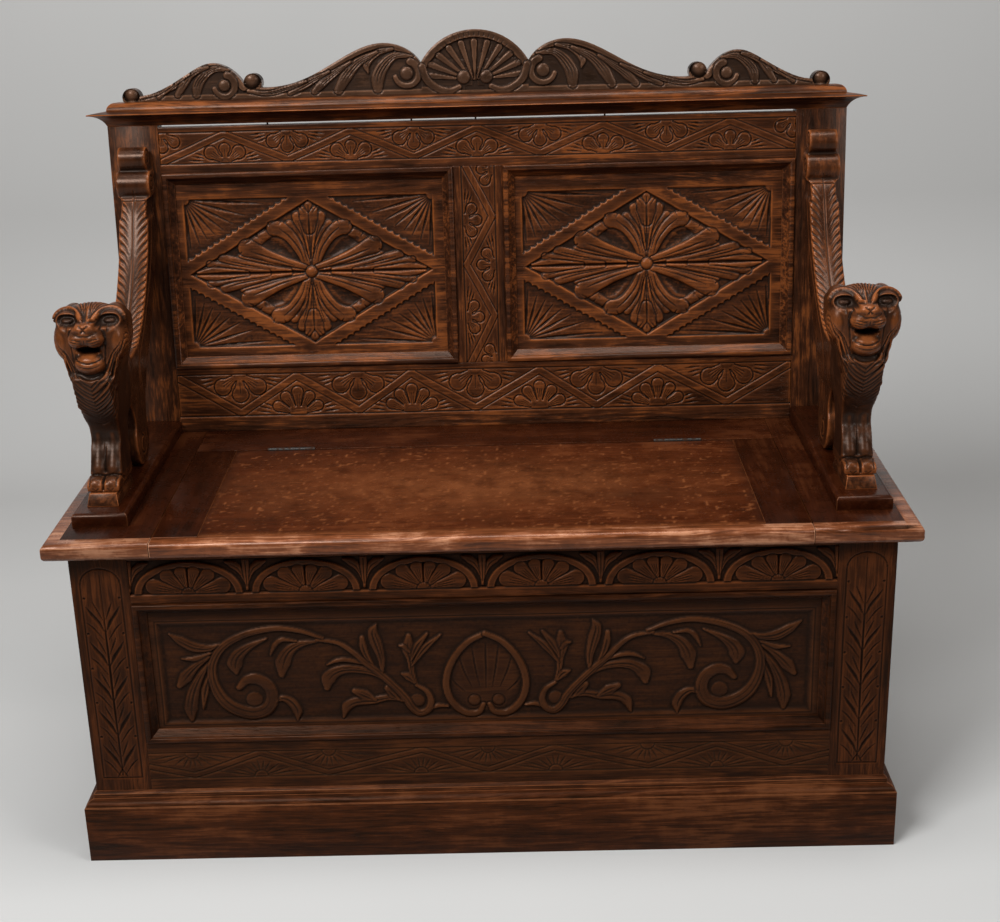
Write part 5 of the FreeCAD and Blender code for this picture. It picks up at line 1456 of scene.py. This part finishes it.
    @staticmethod
    def half_face(relief: Relief, side: int) -> None:
        """One side of the face, and of the leg."""
        def cut(depth: float, widths: Sequence[float], *places: Point) -> None:
            """Cuts a groove with its across turned to this side."""
            relief.cut([(side * across, down) for across, down in places], widths, depth)
        brow = ((5, 62), (8, 53), (12, 44), (19, 36), (28, 32), (37, 35), (44, 43))
        relief.lobe(Stroke([(side * across, down) for across, down in brow],
                           (1.6, 2.8, 3.2, 3.2, 2.8, 2.2, 1.0)), 4.2, 1.8, 0.0, moat=0.3, soft=1.8)
        cut(1.3, (0.5, 1.1, 1.1, 0.9, 0.5), (9, 54), (14, 44), (21, 38), (29, 35), (36, 38))
        cut(1.6, (0.5, 1.3, 1.7, 1.7, 1.5, 0.6), (13, 62), (20, 68), (23.5, 80), (25, 96), (23, 112),
            (19, 126))
        cut(1.1, (0.6, 1.1, 0.6), (17, 60), (27, 55), (37, 60))
        for out in (2.0, 6.0, 10.5, 15.0):
            cut(2.0, (0.5, 1.5, 1.6, 1.3), (0.8 + 0.1 * out, 56), (0.45 * out, 42), (0.9 * out, 26),
                (1.5 * out, 8))
        cut(3.6, (1.9, 1.3), (5, 73), (10, 69))
        cut(1.6, (0.5, 1.1, 0.5), (2, 78), (8, 77.5), (15, 73))
        for down in (82.0, 85.0, 88.0):
            cut(1.3, (0.5, 1.0, 0.5), (4, down), (11, down - 0.5), (19, down - 3))
        cut(2.8, (1.0, 1.8, 2.2, 2.4, 2.0, 1.2), (54, 66), (52, 84), (46, 102), (36, 118), (26, 130),
            (12, 138))
        for down in range(20, 111, 15):
            cut(2.2, (0.8, 2.0, 1.6), (52, down + 18), (59, down + 8), (68, down + 2))
        cut(1.6, (0.8, 1.2), (17, 284), (16.5, 300))
        cut(1.0, (0.8, 0.9), (6, 303), (9.5, 306), (13, 303))

    @staticmethod
    def sides() -> Relief:
        """Lines on both cheeks of the plank: the rolls, the belly and the leg."""
        relief = Relief(np.arange(-60.0, 360.1, 1.0), np.arange(-4.0, 400.1, 1.0))
        for centre, radius, start in (((-17, 378), 12.0, -0.6), ((-14, 342), 12.0, 0.4),
                                      ((173, 29), 19.0, 2.2), ((252, 200), 16.0, 2.6)):
            spiral = [polar(centre, start + 8.6 * share, radius * (1 - 0.75 * share))
                      for share in np.linspace(0, 1, 22)]
            relief.cut(spiral, (1.2, 2.0, 1.8, 1.0), 2.2)
        relief.cut(((-22, 318), (-2, 292), (24, 246), (62, 206), (110, 166), (150, 138), (164, 104),
                    (168, 62)), (0.8, 1.8, 2.0, 2.0, 1.6, 0.8), 1.8)
        relief.cut(((268, 60), (270, 90), (262, 118), (246, 138)), (0.8, 2.0, 2.0, 0.8), 1.8)
        return relief

    def build(self) -> None:
        """Shapes the whole arm."""
        arm = self.block()
        skin = Sculpted(arm)
        local = (skin.points - (self.side * self.middle, BACK_FACE, self.foot)) * (1, -1, 1)
        # How deep each point was pressed back, used as painted shade.
        sunk = np.clip(self.hollow_out(local) / self.depth_fully_shaded, 0.0, 1.0)
        skin.points[:, 1] = BACK_FACE - local[:, 1]
        skin.points = skin.averaged(skin.points, 3)
        skin.reread()
        across, forward, up = local.T
        facing = skin.normals @ (0, -1, 1)
        sideways = np.abs(skin.normals[:, 0])
        neck_around, neck_along, neck_deep = self.skin_places(local, self.NECK)
        face_around, face_along, face_deep = self.skin_places(local, self.FRONT)
        on_neck = softly((12.0 - neck_deep) / 6.0) * softly((facing - 0.15) / 0.5) * (face_deep > neck_deep)
        self.press(skin, self.neck_leaf(), neck_around, neck_along, on_neck)
        reach = np.where(up > 60, 58.0, 22.0)
        on_front = softly((reach - face_deep) / 10.0) * softly((facing + 0.6 * sideways - 0.1) / 0.4)
        on_front *= (forward > self.breast) * (neck_deep > 14)
        self.press(skin, self.front(), face_around, face_along, on_front)
        on_side = softly((sideways - 0.75) / 0.2) * (1.0 - on_front)
        self.press(skin, self.sides(), forward, up, on_side)
        # Painted shade under the chin, in the eye sockets and in the pressed hollows; the cheeks and the nose
        # are marked as wear.
        cheek = np.exp(-((np.abs(across) - 34) / 12) ** 2 - ((up - 206) / 17) ** 2)
        nose = np.exp(-(across / 13) ** 2 - ((up - 231) / 8) ** 2) * (forward > 300)
        below = softly((176.0 - up) / 16.0) * (up > 30)
        socket_shade = np.exp(-((np.abs(across) - 26) / 14) ** 2 - ((up - 231) / 9.5) ** 2)
        head = forward > self.breast
        painted_shade = np.clip(0.6 * below + 0.5 * sunk + 0.75 * socket_shade, 0.0, 0.95)
        skin.mark(head * painted_shade, head * 0.42 * (cheek + nose))
        nodes = [f"lion_arm_{self.word}", f"lion_cheeks_{self.word}"]
        dressed(arm, ARM, Grain.UP, nodes, 1.0 + 0.03 * self.side, 70.0)


@dataclass
class WornTop(CarvedBoard):
    """The lid's top, dished and scratched by use, with a rubbed middle and front edge."""
    rubbed: Four = (-20.0, -70.0, 270.0, 95.0)
    stain: Four = (200.0, -115.0, 55.0, 32.0)
    scratches: int = 150
    wobble: float = 0.0

    @staticmethod
    def patch(relief: Relief, place: Four) -> Array:
        """A soft oval from 0 to 1: its middle, then its two radii."""
        return np.exp(-((relief.x - place[0]) / place[2]) ** 2 - ((relief.y - place[1]) / place[3]) ** 2)

    def carve(self, relief: Relief) -> None:
        """Dishes the top a little and scratches it."""
        dip = 0.25 * (1.0 + wandering(relief.height.shape, 14, self.seed))
        relief.height -= dip + 0.5 * self.patch(relief, self.rubbed)
        draw = np.random.default_rng(self.seed)
        for _ in range(self.scratches):
            start = (draw.normal(-20, 190), draw.normal(-80, 70))
            turn, length = draw.normal(0.0, 0.5), draw.uniform(8, 60)
            relief.cut((start, polar(start, turn, length)), (1.6, 1.2), draw.uniform(0.05, 0.22))

    def lay_face(self, relief: Relief, depth: float) -> Object:
        """The face, with its rubbed and stained patches and painted shade along its ends and back edge stored
        on it.
        """
        face = super().lay_face(relief, depth)
        shape = relief.height.shape
        broken = 0.5 + 0.5 * wandering(shape, 6, self.seed + 3)
        wear = 0.85 * self.patch(relief, self.rubbed) * (0.45 + 0.55 * broken)
        wear += 0.7 * np.exp(-((relief.y - relief.up[0]) / 7.0) ** 2)
        wear += 4.0 * np.clip(wandering(shape, 2, self.seed + 8) - 0.66, 0, None)
        # The stain is a dark patch in the wood; the darkening along both ends and the back edge is painted
        # shade.
        recess = 0.45 * self.patch(relief, self.stain) * (0.4 + 0.6 * broken)
        edge = np.minimum(relief.x - relief.across[0], relief.across[-1] - relief.x)
        recess += 0.35 * np.exp(-(edge / 10.0) ** 2) + 0.3 * np.exp(-((relief.up[-1] - relief.y) / 9.0) ** 2)
        behind = np.zeros(len(face.data.vertices) - relief.x.size)
        paint(face, "wear", np.append(np.clip(wear, 0, 1), behind))
        paint(face, "recess", np.append(np.clip(recess, 0, 0.8), behind))
        return face


@dataclass
class SmallIron:
    """Hinges with countersunk screws, and the nails seen in the slit under the cornice."""
    slot: str = "hinge_iron"
    hinge_across: float = 270.0
    screw_radius: float = 2.6
    leaf_thick: float = 0.8
    joint_y: float = 86.88
    screw_up: float = 441.5
    screw_places: Sequence[float] = (-22.0, 0.0, 22.0)
    nail_places: Sequence[float] = (-480.0, -290.0, -90.0, -1.0, 178.0)
    nail_up: float = 433.9
    nail_deep: float = 12.0
    nail_long: float = 3.2

    @staticmethod
    @cache
    def iron() -> bpy.types.Material:
        """Dull old iron with brown rust in patches."""
        made, write, shader = fresh_material("old_iron")
        rust = write.ramp(write.noise(write.place(), 180.0, 4.0), 0.45, 0.65)
        write.feed(shader, {"Base Color": write.mix(rust, (0.035, 0.032, 0.030, 1.0),
                                                    (0.05, 0.022, 0.012, 1.0)),
                            "Roughness": write.ramp(rust, 0.0, 1.0, 0.45, 0.8), "Metallic": 0.7})
        return made

    def rounds(self, middle: float, radius: float, near: float, far: float) -> list[Object]:
        """Short cylinders across the leaf at each screw's place."""
        made = []
        for offset in self.screw_places:
            clear_selection()
            place = Vector((middle + offset, (near + far) / 2, self.screw_up)) / METRE
            long = abs(far - near) / METRE
            bpy.ops.mesh.primitive_cylinder_add(
                vertices=28, radius=radius / METRE, depth=long, location=place, rotation=(math.pi / 2, 0, 0))
            made.append(settle(bpy.context.object))
        return made

    @staticmethod
    def cut(piece: Object, cutters: Sequence[Object]) -> None:
        """Takes cutters out of a piece and removes them."""
        for cutter in cutters:
            apply_modifier(piece, "BOOLEAN", object=cutter, operation="DIFFERENCE", solver="EXACT")
            bpy.data.objects.remove(cutter)

    def screws(self, middle: float, way: int, name: str) -> Object:
        """The slotted screws of one leaf; way is the side of the joint that it lies on."""
        head = self.joint_y + way * 0.08
        made = self.rounds(middle, self.screw_radius, head, self.joint_y + way * (self.leaf_thick - 0.05))
        for index, screw in enumerate(made):
            clear_selection()
            bpy.ops.mesh.primitive_cube_add(
                size=1.0, rotation=(0.0, 0.5 + index, 0.0),
                location=Vector((middle + self.screw_places[index], head, self.screw_up)) / METRE)
            bpy.context.object.scale = (0.007, 0.0006, 0.0006)
            self.cut(screw, [settle(bpy.context.object)])
        return joined(made, name)

    def hinge(self, word: str, side: int) -> None:
        """One hinge: two leaves with screws, and a pin with rounded ends."""
        middle = side * self.hinge_across
        for kind, body, way in (("fixed", "bench", 1), ("moving", "lid", -1)):
            node = f"hinge_leaf_{kind}_{word}"
            leaf = copy_of(node, node + "_worn")
            near, far = self.joint_y - way * 0.4, self.joint_y + way * (self.leaf_thick + 0.4)
            self.cut(leaf, self.rounds(middle, self.screw_radius + 0.15, near, far))
            enrolled(leaf, self.iron(), self.slot, [node], body)
            screws = self.screws(middle, way, f"hinge_screws_{kind}_{word}")
            enrolled(screws, self.iron(), self.slot, [], body)
        node = f"hinge_pin_{word}"
        pin = copy_of(node, node + "_worn")
        apply_modifier(
            pin, "BEVEL", width=0.0003, segments=2, limit_method="ANGLE", angle_limit=math.radians(50))
        enrolled(pin, self.iron(), self.slot, [node], body_of_node(node))

    def nails(self) -> None:
        """Nail shanks that cross the slit between the top rail and the cornice."""
        made = []
        for across in self.nail_places:
            foot = BACK_PLANE.place(across, self.nail_up, self.nail_deep)[0]
            middle = Vector(foot + (0.0, 0.0, self.nail_long / 2)) / METRE
            clear_selection()
            bpy.ops.mesh.primitive_cylinder_add(
                vertices=12, radius=0.0013, depth=self.nail_long / METRE, location=middle,
                rotation=(-RAKE, 0.0, 0.0))
            made.append(settle(bpy.context.object))
            apply_modifier(made[-1], "BEVEL", width=0.0002, segments=1)
        enrolled(joined(made, "cornice_nails"), self.iron(), self.slot, [], "bench")

    def build(self) -> None:
        """Makes all the iron."""
        for word, side in SIDES:
            self.hinge(word, side)
        self.nails()


@dataclass(frozen=True)
class Lamp:
    """One soft rectangular light."""
    name: str
    place: Triple
    aim: Triple
    size: Point
    power: float
    colour: Triple

    def build(self) -> None:
        """Hangs the light and turns it to its aim."""
        light = bpy.data.objects.new(self.name, bpy.data.lights.new(self.name, "AREA"))
        light.data.shape = "RECTANGLE"
        light.data.size, light.data.size_y = self.size
        light.data.energy = self.power
        light.data.color = self.colour
        light.location = self.place
        light.rotation_euler = (Vector(self.aim) - Vector(self.place)).to_track_quat("-Z", "Y").to_euler()
        bpy.context.scene.collection.objects.link(light)


@dataclass
class Studio:
    """Pale floor and backdrop, soft lights, and the camera of the photograph."""
    place: Triple = (0.05064, -2.05139, 1.20657)
    pitch: float = 0.34937
    roll: float = -0.02793
    yaw: float = -0.01362
    focal_pixels: float = 1621.64
    picture_width: int = 1000
    sensor: float = 36.0
    depth: float = 1.6
    spread: float = 6.0
    high: float = 3.6
    lamps: Sequence[Lamp] = (
        Lamp("window_light", (-1.5, -2.0, 2.7), (0.0, 0.05, 0.5), (1.5, 1.0), 90.0, (1.0, 0.985, 0.96)),
        Lamp("room_light", (2.2, -1.8, 1.9), (0.0, 0.0, 0.5), (1.0, 0.9), 22.0, (1.0, 0.97, 0.93)),
        Lamp("ceiling_light", (0.1, -0.3, 3.0), (0.0, 0.1, 0.5), (1.8, 0.9), 42.0, (1.0, 0.98, 0.95)))

    def camera(self) -> None:
        """Places the camera, whose view was worked out from the bench's straight edges."""
        ahead = Vector((math.sin(self.yaw) * math.cos(self.pitch), math.cos(self.yaw) * math.cos(self.pitch),
                        -math.sin(self.pitch)))
        side = Vector((math.cos(self.yaw), -math.sin(self.yaw), 0.0))
        above = side.cross(ahead)
        turned = math.cos(self.roll) * side + math.sin(self.roll) * above
        upright = -math.sin(self.roll) * side + math.cos(self.roll) * above
        camera = bpy.data.objects.new("camera", bpy.data.cameras.new("camera"))
        bpy.context.scene.collection.objects.link(camera)
        matrix = Matrix((turned, upright, -ahead)).transposed().to_4x4()
        matrix.translation = Vector(self.place)
        camera.matrix_world = matrix
        camera.data.sensor_width = self.sensor
        camera.data.sensor_fit = "HORIZONTAL"
        camera.data.lens = self.focal_pixels * self.sensor / self.picture_width
        bpy.context.scene.camera = camera

    @staticmethod
    def paper() -> bpy.types.Material:
        """Pale paper: darker and warmer in bounced light, and clear from behind."""
        made, write, shader = fresh_material("studio_paper")
        tint = write.mix(
            write.noise(write.place(), 3.0, 2.0), (0.60, 0.615, 0.625, 1.0), (0.63, 0.64, 0.65, 1.0))
        rays = write.add("ShaderNodeLightPath").outputs
        seen = write.math("MAXIMUM", rays["Is Camera Ray"],
                          write.math("MAXIMUM", rays["Is Glossy Ray"], rays["Is Transmission Ray"]))
        behind = write.add("ShaderNodeNewGeometry").outputs["Backfacing"]
        write.feed(shader, {"Base Color": write.mix(seen, (0.12, 0.095, 0.075, 1.0), tint), "Roughness": 0.9,
                            "Alpha": write.math("SUBTRACT", 1.0, behind)})
        return made

    def sweep(self) -> None:
        """A floor that curves up into a backdrop."""
        clear_selection()
        bpy.ops.mesh.primitive_plane_add(size=1.0)
        floor = bpy.context.object
        floor.name = "studio_sweep"
        floor.scale = (self.spread * 2, self.spread + self.depth, 1.0)
        floor.location = (0.0, (self.depth - self.spread) / 2, 0.0)
        settle(floor)
        mesh = bmesh.new()
        mesh.from_mesh(floor.data)
        for edge in mesh.edges:
            edge.select = all(vert.co.y > self.depth - 0.01 for vert in edge.verts)
        mesh.to_mesh(floor.data)
        mesh.free()
        bpy.ops.object.mode_set(mode="EDIT")
        bpy.ops.mesh.extrude_region_move(TRANSFORM_OT_translate={"value": (0.0, 0.0, self.high)})
        bpy.ops.mesh.select_all(action="SELECT")
        bpy.ops.mesh.flip_normals()
        bpy.ops.object.mode_set(mode="OBJECT")
        apply_modifier(floor, "BEVEL", width=0.5, segments=12, affect="EDGES")
        bpy.ops.object.shade_smooth()
        floor.data.materials.append(self.paper())

    def build(self) -> None:
        """Sets up the whole studio."""
        self.camera()
        self.sweep()
        world = bpy.data.worlds.new("studio_world")
        bpy.context.scene.world = world
        world.use_nodes = True
        NodeTree(world.node_tree).feed(
            world.node_tree.nodes["Background"], {"Color": (0.86, 0.90, 1.0, 1.0), "Strength": 0.19})
        for lamp in self.lamps:
            lamp.build()
        bpy.context.scene.view_settings.view_transform = "Standard"


@dataclass
class PlainPieces:
    """Boards and mouldings that aren't carved: each keeps its shape, with edges eased by wear."""
    ease: float = 0.9
    wear: float = 0.85

    ROWS = (
        (BACK, Grain.UP, {"rear_post_{}": 0.72}),
        (BACK, Grain.ACROSS, {"back_moulding_{}": 0.9, "cornice": 0.95, "cresting_strip": 0.95}),
        # The seat boards and lid cleats are toned down as painted shade from the arms.
        (SEAT, Grain.DEEP, {"seat_board_{}": 0.5, "lid_cleat_{}": 0.5, "arm_base_{}": 0.55}),
        (SEAT, Grain.ACROSS, {"hinge_rail": 0.62}),
        # The nosings are dressed in the painted-highlight finish.
        (LIT_NOSING, Grain.ACROSS, {"seat_nosing_{}": 0.8, "lid_nosing": 1.05}),
        (ARM, Grain.DEEP, {"paw_block_{}": 1.0}),
        (CARVED, Grain.ACROSS, {"front_panel_moulding": 0.75}),
        (PLINTH, Grain.DEEP, {"plinth_{}": 1.0}),
        (PLINTH, Grain.ACROSS, {"plinth_front": 1.0}),
        (PLAIN, Grain.DEEP, {"lid_bearer_{}": 0.9, "side_panel_{}": 1.0, "side_top_rail_{}": 1.1,
                             "side_bottom_rail_{}": 1.1}),
        (PLAIN, Grain.ACROSS, {"bottom_bearer_front": 0.9, "bottom_bearer_rear": 0.9, "bottom_boards": 1.1,
                               "box_rear_panel": 1.1, "box_rear_bottom_rail": 1.0, "box_rear_top_rail": 1.0}),
    )

    def soften(self, node: str, finish: Finish, grain: Grain, tone: float) -> None:
        """Copies one node, eases its edges and marks them as worn."""
        piece = copy_of(node, node + "_worn")
        blank = bpy.data.materials.new("blank")
        for _ in range(2):
            piece.data.materials.append(blank)
        apply_modifier(piece, "BEVEL", width=self.ease / METRE, segments=2, limit_method="ANGLE",
                       angle_limit=math.radians(40), material=1)
        eased = read_all(piece.data.polygons, "material_index", 1, np.int32).ravel() == 1
        paint(piece, "wear", self.wear * eased, "FACE")
        piece.data.polygons.foreach_set("material_index", np.zeros(len(eased), np.int32))
        bpy.data.materials.remove(blank)
        dressed(piece, finish, grain, [node], tone, 42.0)

    def build(self) -> None:
        """Softens every plain piece; of two boards on both sides the right one is a little lighter."""
        for finish, grain, tones in self.ROWS:
            for name, tone in tones.items():
                for step, (word, _) in enumerate(SIDES if "{}" in name else SIDES[:1]):
                    self.soften(name.format(word), finish, grain, tone * (1.0 + 0.035 * step))


def carved_boards() -> Iterator[CarvedBoard]:
    """The carved boards of the front and the back."""
    for seed, (word, side) in enumerate(SIDES, start=1):
        yield BackPanel(f"back_panel_{word}", BACK_PLANE, BACK, Grain.ACROSS, slab=7.0, seed=seed,
                        hidden=(14.0, 14.0, 14.0, 14.0))
        yield LeafStile(f"front_stile_{word}", FRONT_PLANE, CARVED, Grain.UP, slab=4.5, seed=20 + seed,
                        middle=side * 473.75, hidden=(0.0, 0.0, 95.0, 0.0))
    yield back_top_rail()
    yield back_bottom_rail()
    yield back_muntin()
    yield LunetteRail("front_top_rail", FRONT_PLANE, CARVED, Grain.ACROSS, pitch=1.0, slab=5.0, seed=8)
    yield WaveRail(
        "front_bottom_rail", FRONT_PLANE, LOW, Grain.ACROSS, slab=4.5, seed=9, hidden=(0.0, 0.0, 50.0, 0.0))
    yield FoliagePanel(
        "front_panel", FRONT_PLANE, PANEL, Grain.ACROSS, pitch=1.25, slab=7.0, seed=3,
        hidden=(12.0, 12.0, 12.0, 12.0))


def main() -> None:
    """Builds the studio and every part of the bench."""
    logging.basicConfig(level=logging.INFO, format="%(message)s")
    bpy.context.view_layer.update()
    Studio().build()
    PlainPieces().build()
    for board in carved_boards():
        board.build()
    Cresting().build()
    for word, side in SIDES:
        LionArm(word, side).build()
    WornTop("lid_board", Plane((0.0, 0.0, SEAT_TOP), (0.0, 1.0, 0.0), (0.0, 0.0, -1.0)), SEAT, Grain.ACROSS,
            pitch=2.6, slab=3.0, seed=31).build()
    SmallIron().build()


if __name__ == "__main__":
    main()
